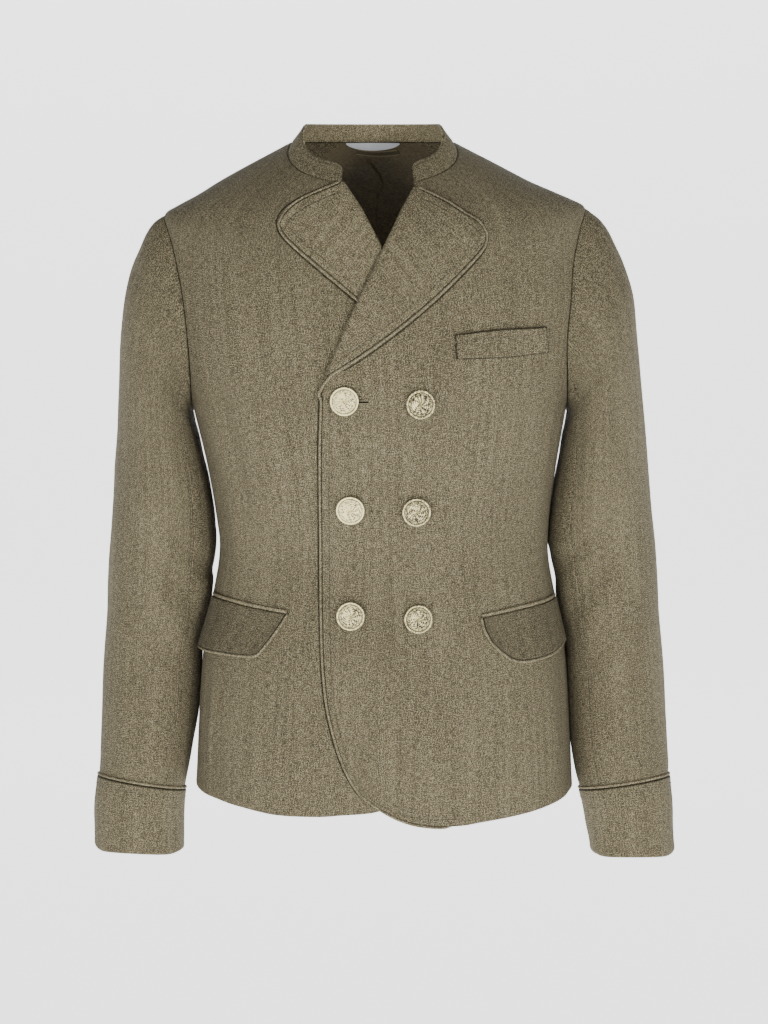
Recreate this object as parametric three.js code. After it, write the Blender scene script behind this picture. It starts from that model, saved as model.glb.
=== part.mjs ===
import * as THREE from 'three';
import { mergeVertices } from 'three/addons/utils/BufferGeometryUtils.js';

// Double-breasted jacket with a low stand collar, filled out as when worn, hollow and open.
// Sizes are millimetres. +X is the wearer's left, -Y the front, +Z up.
// The origin lies between the shoulders, at the height where collar and shoulder seams meet.

// Cloth and seams
const CLOTH = 2.2;
const SEAM = 0.3;
const LAY = 0.6;
const FLAP_CLOTH = 2.6;
const PIPE_RADIUS = 1.3;
const PIPE_REACH = PIPE_RADIUS + SEAM;
const PIPE_SIDES = 6;
// Half the gap of a seam between two walls, and how far a piece stands off what it is sewn to
const HALF_SEAM = 0.2;
const SEAT_GAP = 0.4;

// Body of the jacket, one row for each height, from hem to neck.
// width is half the width, front and back are depths, square is the power of the section's
// rounded outline, lean is how far the section's middle lies to the wearer's left.
const BODY = rows(
  ['z', 'width', 'front', 'back', 'square', 'lean'],
  [
    [-700, 196, 138, 122, 2.4, 0],
    [-591, 191, 134, 117, 2.4, 0],
    [-522, 186, 129, 108, 2.35, 0],
    [-465, 176.5, 122, 97, 2.3, 0],
    [-405, 167.5, 118, 92, 2.3, 0],
    [-372, 170, 120, 95, 2.3, -1],
    [-330, 176, 124, 102, 2.3, -2],
    [-268, 188, 130, 114, 2.3, -4],
    [-230, 195, 129, 119, 2.3, -5],
    [-190, 201, 125, 121.5, 2.28, -6.5],
    [-155, 206, 119, 119.5, 2.22, -7],
    [-117, 209, 110, 114, 2.12, -9],
    [-90, 211, 102, 108, 2.03, -9.2],
    [-68, 212, 94, 101.5, 1.96, -9.5],
    [-52, 181, 86, 95.5, 2, -10],
    [-35, 148, 75.5, 88, 2.05, -10.6],
    [-20, 119.5, 66, 80, 2.08, -11],
    [-10, 100, 59, 74, 2.05, -11.3],
    [0, 81, 52, 66, 2.05, -11.5],
  ],
);

// Soft folds of the body: angle round the body and height of the middle, half width in degrees,
// half length in millimetres, and how deep it sinks in. A negative depth is a ridge.
const BODY_FOLDS = rows(
  ['angle', 'z', 'wide', 'long', 'depth'],
  [
    [-50, -290, 6, 85, 2.4],
    [-66, -345, 6, 60, 1.8],
    [54, -320, 6, 80, 2],
    [72, -385, 7, 60, 1.6],
    [118, -395, 9, 60, 2.4],
    [152, -405, 9, 75, 2],
    [-124, -400, 9, 60, 2.4],
    [-155, -410, 9, 75, 2],
    [140, -600, 10, 80, -2],
    [-136, -610, 10, 80, -2],
  ],
);

// Neck seam: level at the back, dipping by NECK_DROP at centre front
const NECK_DROP = 41;
const NECK_POWER = 2.4;

// Armhole, an egg shape seen from the side
const ARMHOLE = { middle: -167.5, half: 97.5, front: 52, back: 58, skew: 0.18 };
const ARMHOLE_STEPS = 10;
const ARMHOLE_GAP = 0.5;

// Heights of the rows of cloth below the armhole, and above it to the neck
const LOWER_ROWS = [-622, -582, -542, -502, -464, -430, -398, -366, -332, -298];
const SHOULDER_ROWS = [-66, -60, -51, -36, -18, 0];

// The two fronts. edge is the cut front edge and roll the crease of the lapel, as x by z.
// hem is the height of the hem by x, sideHem its height at the side seam, and corner the height
// where it meets the edge. The lapel turns back from breakHeight up, the collar ends at notchAngle.
const FRONTS = {
  left: {
    side: 1,
    sideHem: -656,
    corner: -634.6,
    breakHeight: -238,
    notchAngle: 15.2,
    edge: rows(['z', 'x'], [
      [-634.6, -22], [-622, -31], [-602, -40.5], [-578, -48.2], [-540, -56], [-492, -59.3],
      [-404, -60.7], [-300, -60.7], [-238, -59],
    ]),
    roll: rows(['z', 'x'], [
      [-238, -61.5], [-200, -47], [-153, -26], [-99, 0], [-70, 14.5], [-35, 32],
    ]),
    hem: rows(['x', 'z'], [
      [-22, -634.6], [-12, -642], [-2, -649], [17, -659], [36, -664.5], [55, -666.6],
      [75, -666.8], [95, -665], [135, -662.3], [195, -656],
    ]),
  },
  right: {
    side: -1,
    sideHem: -652,
    corner: -634,
    breakHeight: -205,
    notchAngle: -11.6,
    edge: rows(['z', 'x'], [
      [-634, 24], [-618, 38], [-600, 48], [-560, 57], [-500, 61], [-205, 62],
    ]),
    roll: rows(['z', 'x'], [
      [-205, 60], [-150, 29], [-100, -1], [-80, -11.6], [-63, -21.2], [-48, -31], [-30, -44],
    ]),
    hem: rows(['x', 'z'], [
      [-195, -652], [-143, -655.6], [-103, -659], [-63, -658], [-43, -656], [-12, -653],
      [7, -646], [24, -634],
    ]),
  },
};
const BACK_HEM = -650;
const FRONT_COLUMNS = 13;
const BACK_COLUMNS = 9;
const NOTCH_SET = 1.9;
// Rows of a front run from these heights at its side to these at its edge, between hem and neck
const FRONT_ROWS = { side: [-302, -230], edge: -300, aboveBreak: 12, armholeTop: -95 };

// How far the upper front stands off the body, by height, fading out towards its side
const OVERLAP = rows(['z', 'out'], [
  [-700, 3.1], [-268, 3.1], [-232, 5.6], [-96, 5.6], [-70, 3.2], [-42, 0.5], [0, 0],
]);
const OVERLAP_FULL = 75;
const OVERLAP_GONE = 135;

// Lapel outlines in front view: from the notch along the upper edge, round the tip, to the break
const LAPELS = {
  left: {
    upper: [[28, -43.5], [60, -58.5], [84, -73], [93, -80], [97.6, -90]],
    lower: [
      [97.6, -90], [95, -101], [84, -114], [52, -145.5], [14, -177], [-23, -203.5], [-50, -220],
    ],
    rollEnd: -222,
  },
  right: {
    upper: [[-38.5, -38.5], [-62, -48], [-82, -57], [-97, -67.5], [-101.5, -78]],
    lower: [
      [-101.5, -78], [-97, -88], [-80, -104.5], [-42, -135.5], [-23, -151], [20, -187], [52, -202],
    ],
    rollEnd: -199,
  },
};
// Where the piping of the lapel comes down to the front edge
const BREAK_PIPING = rows(['x', 'z', 'out'], [[-57, -230.5, 1.8], [-62.3, -240, 0.6]]);
const EDGE_PIPING_OUT = 0.2 - CLOTH / 2;
const LAPEL_ROWS = 11;
const LAPEL_COLUMNS = 5;
// The lapel's rim along the roll line: its width where the lapel begins, how fast it widens and
// its full width, how much wider the front's cut-out is, and how far its two faces stand off
const ROLL_RIM = { start: 0.8, growth: 0.09, full: 4.5, fold: 0.45 };
const RIM_SLANT = 1.25;
const RIM_CLEAR = 1.6;
const RIM_OUTER = [-0.3, CLOTH - 0.3];
const RIM_INNER = [0.4 - CLOTH, -CLOTH, -CLOTH];

// Stand collar
const COLLAR = {
  height: 24, cloth: 2.8, rise: 0.74, lean: 0.67, corner: 10, cornerTurns: [0.7, 2.6], ends: 4, rows: 3,
};

// Sleeves, one row for each ring from the armhole to the end of the cuff.
// out and in are the outer and inner points in front view, middle and depth are front to back.
// rise is how much higher the front of a ring lies than its middle, as on a sleeve bent forward,
// and corner how far a ring turns up at its outer and inner point.
const SLEEVE = rows(
  ['outX', 'outZ', 'inX', 'inZ', 'middle', 'depth', 'rise', 'corner'],
  [
    [212.3, -70.5, 188.8, -264.5, 3, 55, 0, 0],
    [219, -76, 190.8, -268, 3, 57.5, 0, 0],
    [228.5, -87, 191.6, -273, 3, 60, 0, 0],
    [239.5, -109, 191.6, -279, 3, 63, 0, 0],
    [249, -135, 191, -287, 3, 66, 0, 0],
    [256, -166, 189.2, -299, 3, 68, 0, 0],
    [260.5, -205, 185.7, -318, 3.5, 69, 0, 0],
    [265, -255, 180.2, -342, 4, 68.5, 0, 0],
    [270, -322, 174.6, -374, 5, 66.5, 0, 0],
    [276.5, -385, 171.8, -403, 6, 63.5, 0, 0],
    [280.5, -432, 176, -437, 6, 61, 0.5, 0],
    [283.5, -475, 183.5, -477, 5, 59, 1.5, 0],
    [287, -520, 191, -522, 3, 57, 3, 0],
    [289.8, -565, 194, -567, -2, 54, 5, 0],
    [291.5, -608, 198.5, -616, -9, 50.5, 7, 0],
    [294.2, -645, 206.3, -660, -15, 47, 9, 0],
    [297.2, -686, 210.5, -694, -20, 45, 10.3, 1],
    [297.2, -725.6, 213, -725.6, -24, 44, 11.4, 8],
  ],
);
const CORNER_POWER = 8;
const CUFF_START = 15;
const CUFF_PIPING_RING = 14.95;
const SLEEVE_END = 16.85;
const SLEEVE_RINGS = [
  0, 1, 2, 3, 4, 5, 6, 7, 7.5, 8, 8.5, 9, 9.5, 10, 10.5, 11, 11.5, 12, 13, 14, 15, 16, SLEEVE_END,
];
const CUFF_ROWS = 4;
const CUFF_GAP = 0.8;
const CUFF_END = 17;
const ARMHOLE_FADE = 5;
const FRONT_SEAM = 130;
const BACK_SEAM = 236;
const TOP_COLUMNS = 14;
const UNDER_COLUMNS = 7;
const CUFF_COLUMNS = 24;

// Creases of the sleeves: turn is the angle round the sleeve, ring the place along it,
// slant how many rings it climbs over a quarter turn, depth how far it sinks in.
const SLEEVE_FOLDS = rows(
  ['turn', 'ring', 'slant', 'wide', 'long', 'depth'],
  [
    [115, 10.2, 2.2, 0.55, 48, 3.2],
    [100, 11.4, 2.0, 0.5, 40, 2.2],
    [60, 7.2, -2.4, 0.8, 45, 2.0],
    [285, 9.4, 1.4, 0.6, 45, 2.4],
    [255, 7.4, -1.6, 0.7, 40, 2.0],
  ],
);

// Hip pocket flaps, as angle round the body and height, from the top front corner
const FLAPS = {
  left: {
    front: [[31.4, -462.5], [32.1, -475], [34.4, -489]],
    bottom: [[34.4, -489], [39.5, -503], [45, -508.5], [57, -507.5], [68, -503.5], [78, -499]],
    top: [[31.4, -462.5], [45, -458.8], [60, -457], [79, -457]],
    rear: [[78, -499], [79, -457]],
    flare: [0.4, 2.2],
  },
  right: {
    front: [[-31.5, -459], [-35.5, -480], [-39.6, -498]],
    bottom: [[-39.6, -498], [-42.5, -502.5], [-56, -504.5], [-68, -506.5], [-80.5, -508]],
    top: [[-31.5, -459], [-45, -456], [-60, -454], [-78, -455.5]],
    rear: [[-80.5, -508], [-78, -455.5]],
    flare: [1.2, 4.6],
  },
};
const FLAP_COLUMNS = 9;
const FLAP_ROWS = 4;
const FLAP_CURL = 1.3;
// Mean radius of the body at the flaps, as a share of its half width
const MEAN_RADIUS = 0.86;
const JETTING = { height: 3.4, cloth: 1.6, gap: 0.5 };

// Breast welt on the wearer's left, corners in front view
const WELT = {
  bottom: [[68.4, -207.4], [112, -207], [160, -204]],
  top: [[66.8, -184], [112, -179.4], [157.5, -178.6]],
  cloth: 2.4,
  columns: 7,
  rows: 2,
};

// Buttons: places in front view, and the half section as radius and height
const BUTTONS = rows(['x', 'z'], [
  [-37.5, -246.4], [-32.1, -352.6], [-32.3, -458.4], [34.6, -249.4], [31.1, -354.6], [33.2, -461.3],
]);
const BUTTON_PROFILE = [
  [0, 0], [4, 0], [4, 1.4], [12.4, 1.6], [14, 2.5], [14.1, 3.5], [13.3, 4.2], [12.3, 4.2],
  [11.7, 3.8], [7, 4.7], [0, 5.1],
];
const BUTTON_SEGMENTS = 16;

// Inside the neck: lining with a centre pleat, label and hanger loop
const LINING = {
  cloth: 1, gap: 0.9, from: 120, to: 240, top: -0.5, bottom: -215, rows: 7, topRows: 2, columns: 5,
};
const LINING_OUT = -(CLOTH + LINING.gap);
const LINING_FACE = LINING_OUT - LINING.cloth - LAY - 0.2;
const PLEAT = { from: 179, to: 185, side: 0.8, top: -17.5, full: -19.5, out: 1.4 };
const LABEL = {
  from: 160, to: 200, top: -1.5, least: 1, drop: 7.5, end: 0.04, cloth: 0.5, columns: 8,
};
const LOOP = { from: 168, to: 197, z: -11.8, sag: 2.2, wide: 5.5, cloth: 1.2, columns: 8 };

const COLOURS = {
  cloth: 0x7c7158,
  piping: 0x847a5f,
  lining: 0x3a3524,
  label: 0xe9eaee,
  metal: 0xb5a478,
};

function rows(names, table) {
  return table.map((row) => Object.fromEntries(names.map((name, i) => [name, row[i]])));
}

// A curve through every value that never overshoots between two of them
function through(places, values) {
  const last = places.length - 1;
  const step = values.slice(1).map((_, i) => places[i + 1] - places[i]);
  const rise = step.map((length, i) => (values[i + 1] - values[i]) / length);
  const slope = values.map((_, i) => {
    if (i === 0) return rise[0];
    if (i === last) return rise[last - 1];
    if (rise[i - 1] * rise[i] <= 0) return 0;
    const before = 2 * step[i] + step[i - 1];
    const after = step[i] + 2 * step[i - 1];
    return (before + after) / (before / rise[i - 1] + after / rise[i]);
  });
  return (place) => {
    let i = 0;
    while (i < last - 1 && place > places[i + 1]) i += 1;
    const t = (place - places[i]) / step[i];
    const far = t * t * (3 - 2 * t);
    const leave = t * (1 - t) * (1 - t) * step[i] * slope[i];
    const arrive = t * t * (t - 1) * step[i] * slope[i + 1];
    return values[i] * (1 - far) + values[i + 1] * far + leave + arrive;
  };
}

function column(table, place, value) {
  return through(table.map((row) => row[place]), table.map((row) => row[value]));
}

const radians = THREE.MathUtils.degToRad;
const degrees = THREE.MathUtils.radToDeg;
const mix = THREE.MathUtils.lerp;

function spread(from, to, count) {
  return Array.from({ length: count + 1 }, (_, i) => mix(from, to, i / count));
}

const bodyColumns = Object.fromEntries(
  ['width', 'front', 'back', 'square', 'lean'].map((name) => [name, column(BODY, 'z', name)]),
);

function bodySection(z) {
  return Object.fromEntries(Object.entries(bodyColumns).map(([name, at]) => [name, at(z)]));
}

function turnBetween(from, to) {
  return THREE.MathUtils.euclideanModulo(to - from + 180, 360) - 180;
}

function bodyFold(angle, z) {
  return BODY_FOLDS.reduce((sum, fold) => {
    const away = turnBetween(fold.angle, angle) / fold.wide;
    return sum + fold.depth * Math.exp(-(away ** 2) - ((z - fold.z) / fold.long) ** 2);
  }, 0);
}

// A point of the body's outer face. The angle is 0 at centre front, 90 at the wearer's left.
function bodySkin(angle, z) {
  const { width, front, back, square, lean } = bodySection(z);
  const across = Math.sin(radians(angle));
  const ahead = Math.cos(radians(angle));
  const size = (Math.abs(across) ** square + Math.abs(ahead) ** square) ** (-1 / square);
  const depth = ahead > 0 ? front : back;
  const point = new THREE.Vector3(width * size * across, -depth * size * ahead, 0);
  point.setLength(point.length() - bodyFold(angle, z));
  return point.add(new THREE.Vector3(lean, 0, z));
}

function bodyNormal(angle, z) {
  const round = bodySkin(angle + 0.5, z).sub(bodySkin(angle - 0.5, z));
  const up = bodySkin(angle, Math.min(z + 1, 0)).sub(bodySkin(angle, z - 1));
  return round.cross(up).normalize();
}

function bodyAt(angle, z, out = 0) {
  return bodySkin(angle, z).addScaledVector(bodyNormal(angle, z), out);
}

// The angle of a point of the front, from its x in front view
function angleAt(x, z) {
  const { width, square, lean } = bodySection(z);
  const across = THREE.MathUtils.clamp((x - lean) / width, -0.9999, 0.9999);
  const ahead = (1 - Math.abs(across) ** square) ** (1 / square);
  return degrees(Math.atan2(across, ahead));
}

// The angle of a point of one side, from its y
function angleAtDepth(side, y, z) {
  const { front, back, square } = bodySection(z);
  const ahead = Math.min(Math.abs(y) / (y < 0 ? front : back), 0.9999);
  const across = (1 - ahead ** square) ** (1 / square);
  return side * degrees(Math.atan2(across, y < 0 ? ahead : -ahead));
}

function neckHeight(angle) {
  const ahead = Math.cos(radians(angle));
  return ahead > 0 ? -NECK_DROP * ahead ** NECK_POWER : 0;
}

const overlapByHeight = column(OVERLAP, 'z', 'out');

// How far the outer face of a front stands off the body
function frontOut(side, angle, z) {
  if (side < 0) return 0;
  const x = bodySkin(angle, z).x;
  const fade = THREE.MathUtils.smoothstep(OVERLAP_GONE - x, 0, OVERLAP_GONE - OVERLAP_FULL);
  return overlapByHeight(z) * fade;
}

// A closed wall between two grids of points of the same size
function wall(outer, inner, ring = false) {
  const height = outer.length;
  const width = outer[0].length;
  const points = [...outer.flat(), ...inner.flat()];
  const place = (layer, row, col) => layer * height * width + row * width + (col % width);
  const faces = [];
  const quad = (a, b, c, d) => faces.push(a, b, c, a, c, d);
  const lastCol = ring ? width : width - 1;
  for (let row = 0; row < height - 1; row += 1) {
    for (let col = 0; col < lastCol; col += 1) {
      const [a, b, c, d] = [[row, col], [row, col + 1], [row + 1, col + 1], [row + 1, col]];
      quad(...[a, b, c, d].map((corner) => place(0, ...corner)));
      quad(...[a, d, c, b].map((corner) => place(1, ...corner)));
    }
  }
  for (let col = 0; col < lastCol; col += 1) {
    const top = height - 1;
    quad(place(0, 0, col + 1), place(0, 0, col), place(1, 0, col), place(1, 0, col + 1));
    quad(place(0, top, col), place(0, top, col + 1), place(1, top, col + 1), place(1, top, col));
  }
  if (!ring) {
    for (let row = 0; row < height - 1; row += 1) {
      const end = width - 1;
      quad(place(0, row, 0), place(0, row + 1, 0), place(1, row + 1, 0), place(1, row, 0));
      quad(place(0, row + 1, end), place(0, row, end), place(1, row, end), place(1, row + 1, end));
    }
  }
  return solid(points, faces);
}

// A closed body from points and faces, turned so that its faces point out
function solid(points, faces) {
  const geometry = new THREE.BufferGeometry();
  geometry.setAttribute('position', new THREE.Float32BufferAttribute(points.flatMap((p) => p.toArray()), 3));
  let volume = 0;
  for (let i = 0; i < faces.length; i += 3) {
    const [a, b, c] = [points[faces[i]], points[faces[i + 1]], points[faces[i + 2]]];
    volume += a.dot(b.clone().cross(c));
  }
  geometry.setIndex(volume > 0 ? faces : faces.slice().reverse());
  return geometry;
}

// A direction that no cord starts in
const ASKEW = new THREE.Vector3(0.31, 0.87, 0.38);

// A round cord through points, closed on itself or with flat ends
function cord(path, radius, closed = false) {
  const count = path.length;
  const at = (i) => (closed ? path[(i + count) % count] : path[THREE.MathUtils.clamp(i, 0, count - 1)]);
  let side = null;
  const rings = path.map((point, i) => {
    const along = at(i + 1).clone().sub(at(i - 1)).normalize();
    side = side ?? ASKEW.clone().cross(along);
    side = side.clone().addScaledVector(along, -side.dot(along)).normalize();
    const across = along.clone().cross(side);
    return Array.from({ length: PIPE_SIDES }, (_, k) => {
      const turn = (2 * Math.PI * k) / PIPE_SIDES;
      return point.clone()
        .addScaledVector(side, radius * Math.cos(turn))
        .addScaledVector(across, radius * Math.sin(turn));
    });
  });
  const faces = [];
  const lastRing = closed ? count : count - 1;
  for (let i = 0; i < lastRing; i += 1) {
    for (let k = 0; k < PIPE_SIDES; k += 1) {
      const next = (k + 1) % PIPE_SIDES;
      const far = (i + 1) % count;
      const [a, b] = [i * PIPE_SIDES + k, i * PIPE_SIDES + next];
      const [c, d] = [far * PIPE_SIDES + next, far * PIPE_SIDES + k];
      faces.push(a, b, c, a, c, d);
    }
  }
  if (!closed) {
    const end = (count - 1) * PIPE_SIDES;
    for (let k = 1; k < PIPE_SIDES - 1; k += 1) {
      faces.push(0, k + 1, k);
      faces.push(end, end + k, end + k + 1);
    }
  }
  return solid(rings.flat(), faces);
}

// A four-sided pattern piece. left and right hold a point for each row, bottom and top give
// one for each place from 0 to 1 along them, and points between are blended from the edges.
function pattern({ left, right, bottom, top, places }) {
  const last = left.length - 1;
  const [low, high] = [right[0][1], right[last][1]];
  return left.map((_, row) => {
    const v = (right[row][1] - low) / (high - low);
    return places(row).map((u) => [0, 1].map((axis) => {
      const across = mix(left[row][axis], right[row][axis], u);
      const along = mix(bottom(u)[axis], top(u)[axis], v);
      const cornersLow = mix(left[0][axis], right[0][axis], u);
      const cornersHigh = mix(left[last][axis], right[last][axis], u);
      return across + along - mix(cornersLow, cornersHigh, v);
    }));
  });
}

// A curve in front view through a few points, as a function of the share of its length
function curve(points) {
  const spline = new THREE.SplineCurve(points.map(([a, b]) => new THREE.Vector2(a, b)));
  return (share) => spline.getPointAt(THREE.MathUtils.clamp(share, 0, 1)).toArray();
}

// A wall on the body over a grid of angles and heights, between two distances off the body
function bodyWall(grid, outerOut, innerOut) {
  const layer = (out) => grid.map((line, row) => line.map(([angle, z], col) => (
    bodyAt(angle, z, out(angle, z, row, col)))));
  return wall(layer(outerOut), layer(innerOut));
}

function armholeHeight(turn, gap = 0) {
  return ARMHOLE.middle + (ARMHOLE.half - gap) * Math.cos(radians(turn));
}

// y of the armhole's edge: turn is 0 at its top, 90 at its front, 270 at its back
function armholeDepth(turn, gap = 0) {
  const wide = Math.abs(Math.sin(radians(turn))) * (1 - ARMHOLE.skew * Math.cos(radians(turn)));
  return turn % 360 <= 180 ? -(ARMHOLE.front - gap) * wide : (ARMHOLE.back - gap) * wide;
}

// Side edge of a front (facing -1) or a back (facing 1): side seam, armhole, shoulder seam.
// Both have the same heights, so that their seams match.
function sideEdge(side, facing, hem) {
  const point = (z, y) => {
    const depth = facing * Math.max(Math.abs(y), HALF_SEAM);
    return [angleAtDepth(side, depth, z), z];
  };
  const turns = spread(180, 0, ARMHOLE_STEPS).map((turn) => (facing < 0 ? turn : 360 - turn));
  return [
    ...[hem, ...LOWER_ROWS].map((z) => point(z, 0)),
    ...turns.map((turn) => point(armholeHeight(turn), armholeDepth(turn))),
    ...SHOULDER_ROWS.map((z) => point(z, 0)),
  ];
}

// Width of the rim that a lapel has along its roll line, narrow where the lapel begins
function rimWidth(front, z) {
  const width = ROLL_RIM.start + (z - front.breakHeight) * ROLL_RIM.growth;
  return THREE.MathUtils.clamp(width, 0, ROLL_RIM.full);
}

function frontGrid(front) {
  const { side } = front;
  const right = sideEdge(side, -1, front.sideHem);
  const edgeAt = column(front.edge, 'z', 'x');
  const rollAt = column(front.roll, 'z', 'x');
  const hemAt = column(front.hem, 'x', 'z');
  const notch = front.notchAngle + side * NOTCH_SET;
  const heights = through(
    [front.sideHem, ...FRONT_ROWS.side, armholeHeight(0), 0],
    [
      front.corner, FRONT_ROWS.edge, front.breakHeight + FRONT_ROWS.aboveBreak,
      FRONT_ROWS.armholeTop, neckHeight(notch),
    ],
  );
  const left = right.map(([, z]) => {
    const height = heights(z);
    const x = height > front.breakHeight
      ? rollAt(height) + side * (rimWidth(front, height) * RIM_SLANT + RIM_CLEAR)
      : edgeAt(height);
    return [angleAt(x, height), height];
  });
  const last = left.length - 1;
  const bottom = (u) => {
    const angle = mix(left[0][0], right[0][0], u);
    return [angle, hemAt(bodySkin(angle, front.sideHem).x)];
  };
  const top = (u) => {
    const angle = mix(left[last][0], right[last][0], u);
    return [angle, neckHeight(angle)];
  };
  const places = () => spread(0, 1, FRONT_COLUMNS);
  return pattern({ left, right, bottom, top, places });
}

function backGrid(side, sideHem) {
  const right = sideEdge(side, 1, sideHem);
  const centreGap = (z) => degrees(HALF_SEAM / bodyColumns.width(z));
  const left = right.map(([, z]) => {
    const height = mix(BACK_HEM, 0, (z - sideHem) / -sideHem);
    return [side * (180 - centreGap(height)), height];
  });
  const last = left.length - 1;
  const bottom = (u) => [mix(left[0][0], right[0][0], u), mix(BACK_HEM, sideHem, u)];
  const top = (u) => [mix(left[last][0], right[last][0], u), 0];
  const places = () => spread(0, 1, BACK_COLUMNS);
  return pattern({ left, right, bottom, top, places });
}

// A lapel in front view, from its roll line to its outer edge
function lapelGrid(front, lapel) {
  const rollAt = column(front.roll, 'z', 'x');
  const upper = curve(lapel.upper);
  const lower = curve(lapel.lower);
  const notchHeight = lapel.upper[0][1];
  const shares = spread(0, 1, LAPEL_ROWS);
  const left = shares.map((share) => {
    const z = mix(lapel.rollEnd, notchHeight, share);
    return [rollAt(z), z];
  });
  const right = shares.map((share) => lower(1 - share));
  const bottom = (u) => [0, 1].map((axis) => mix(left[0][axis], right[0][axis], u));
  const places = (row) => {
    const [a, b] = [left[row], right[row]];
    const rim = Math.min(rimWidth(front, a[1]) / Math.hypot(b[0] - a[0], b[1] - a[1]), 0.5);
    return [0, rim * ROLL_RIM.fold, rim, ...spread(rim + 0.01, 1, LAPEL_COLUMNS)];
  };
  return pattern({ left, right, bottom, top: upper, places });
}

function toAngles(grid) {
  return grid.map((line) => line.map(([x, z]) => [angleAt(x, z), z]));
}

// The lapel lies on its front, and its rim reaches through to the inside at the roll line
function lapelWall(front, grid) {
  const base = (angle, z) => frontOut(front.side, angle, z);
  return bodyWall(
    toAngles(grid),
    (angle, z, row, col) => base(angle, z) + (RIM_OUTER[col] ?? LAY + CLOTH),
    (angle, z, row, col) => base(angle, z) + (RIM_INNER[col] ?? LAY),
  );
}

// Points of an edge in front view, moved out of the piece by the reach of its piping
function movedOut(edge, side) {
  return edge.map(([x, z], i) => {
    const [before, after] = [edge[Math.max(i - 1, 0)], edge[Math.min(i + 1, edge.length - 1)]];
    const [dx, dz] = [after[0] - before[0], after[1] - before[1]];
    const length = Math.hypot(dx, dz);
    return [x - (side * dz * PIPE_REACH) / length, z + (side * dx * PIPE_REACH) / length];
  });
}

function lapelEdge(grid) {
  const top = grid[grid.length - 1].filter((_, col) => col > 3);
  const outer = grid.map((line) => line[line.length - 1]).reverse();
  return [...top, ...outer.slice(1)];
}

function pipingOn(side, path) {
  return cord(path.map(({ x, z, out }) => {
    const angle = angleAt(x, z);
    return bodyAt(angle, z, frontOut(side, angle, z) + out);
  }), PIPE_RADIUS);
}

function lapelPiping(side, grid) {
  return movedOut(lapelEdge(grid), side).map(([x, z]) => ({ x, z, out: LAY + CLOTH / 2 }));
}

// Piping of the upper front: round the lapel, down the front edge and along the hem's facing
function frontPiping(front, grid, lapel) {
  const toFrontView = ([angle, z]) => [bodySkin(angle, z).x, z];
  const straight = grid.map((line) => line[0]).filter(([, z]) => z < front.breakHeight - 5);
  const hem = grid[0].slice(1).filter(([angle]) => bodySkin(angle, front.sideHem).x < OVERLAP_FULL);
  const edgePart = movedOut([...straight.reverse(), ...hem].map(toFrontView), -front.side);
  return pipingOn(front.side, [
    ...lapelPiping(front.side, lapel),
    ...BREAK_PIPING,
    ...edgePart.map(([x, z]) => ({ x, z, out: EDGE_PIPING_OUT })),
  ]);
}

// Collar: a band that stands on the neck seam and leans in, with rounded front corners
function collarWall() {
  const [start, end] = [FRONTS.right.notchAngle, FRONTS.left.notchAngle];
  const corner = [0, ...COLLAR.cornerTurns];
  const straight = NOTCH_SET + COLLAR.ends;
  const angles = [
    ...corner.map((turn) => start - turn),
    ...spread(start - straight, -90, FRONT_COLUMNS - 1),
    ...spread(-90, -180, BACK_COLUMNS).slice(1),
    ...spread(180, 90, BACK_COLUMNS).slice(1),
    ...spread(90, end + straight, FRONT_COLUMNS - 1).slice(1),
    ...corner.map((turn) => end + turn).reverse(),
  ];
  const foot = angles.map((angle) => bodySkin(angle, neckHeight(angle)));
  const length = foot.map((point, i) => (i === 0 ? 0 : point.distanceTo(foot[i - 1])));
  const along = length.map((_, i) => length.slice(0, i + 1).reduce((sum, step) => sum + step, 0));
  const total = along[along.length - 1];
  const inward = foot.map((_, i) => {
    const next = foot[Math.min(i + 1, foot.length - 1)].clone();
    const step = next.sub(foot[Math.max(i - 1, 0)]);
    return new THREE.Vector3(step.y, -step.x, 0).normalize();
  });
  const layer = (depth) => spread(0, 1, COLLAR.rows).map((share) => foot.map((point, i) => {
    const fromEnd = Math.min(along[i], total - along[i], COLLAR.corner);
    const cut = COLLAR.corner - Math.sqrt(COLLAR.corner ** 2 - (COLLAR.corner - fromEnd) ** 2);
    const height = (COLLAR.height - cut) * share;
    return point.clone()
      .addScaledVector(inward[i], depth + COLLAR.lean * height)
      .add(new THREE.Vector3(0, 0, COLLAR.rise * height));
  }));
  return wall(layer(SEAT_GAP), layer(SEAT_GAP + COLLAR.cloth));
}

const sleeveColumns = Object.fromEntries(
  Object.keys(SLEEVE[0]).map((name) => (
    [name, through(SLEEVE.map((_, i) => i), SLEEVE.map((row) => row[name]))])),
);

function sleeveFold(turn, ring) {
  return SLEEVE_FOLDS.reduce((sum, fold) => {
    const away = turnBetween(fold.turn, turn);
    const off = (ring - fold.ring - (fold.slant * away) / 90) / fold.wide;
    return sum + fold.depth * Math.exp(-(off ** 2) - (away / fold.long) ** 2);
  }, 0);
}

// A point of the armhole seam, with x measured from the body's middle
function armholeRing(turn) {
  const z = armholeHeight(turn, ARMHOLE_GAP);
  const y = armholeDepth(turn, ARMHOLE_GAP);
  const { lean } = bodySection(z);
  const point = bodyAt(angleAtDepth(1, y, z), z, SEAM);
  return new THREE.Vector3(point.x - lean, y, z);
}

function sleeveRing(turn, ring) {
  const at = (name) => sleeveColumns[name](ring);
  const c = Math.cos(radians(turn));
  const s = Math.sin(radians(turn));
  const lift = at('rise') * s + at('corner') * c ** CORNER_POWER;
  return new THREE.Vector3(
    mix(at('inX'), at('outX'), (1 + c) / 2),
    at('middle') - at('depth') * s,
    mix(at('inZ'), at('outZ'), (1 + c) / 2) + lift,
  );
}

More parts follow.
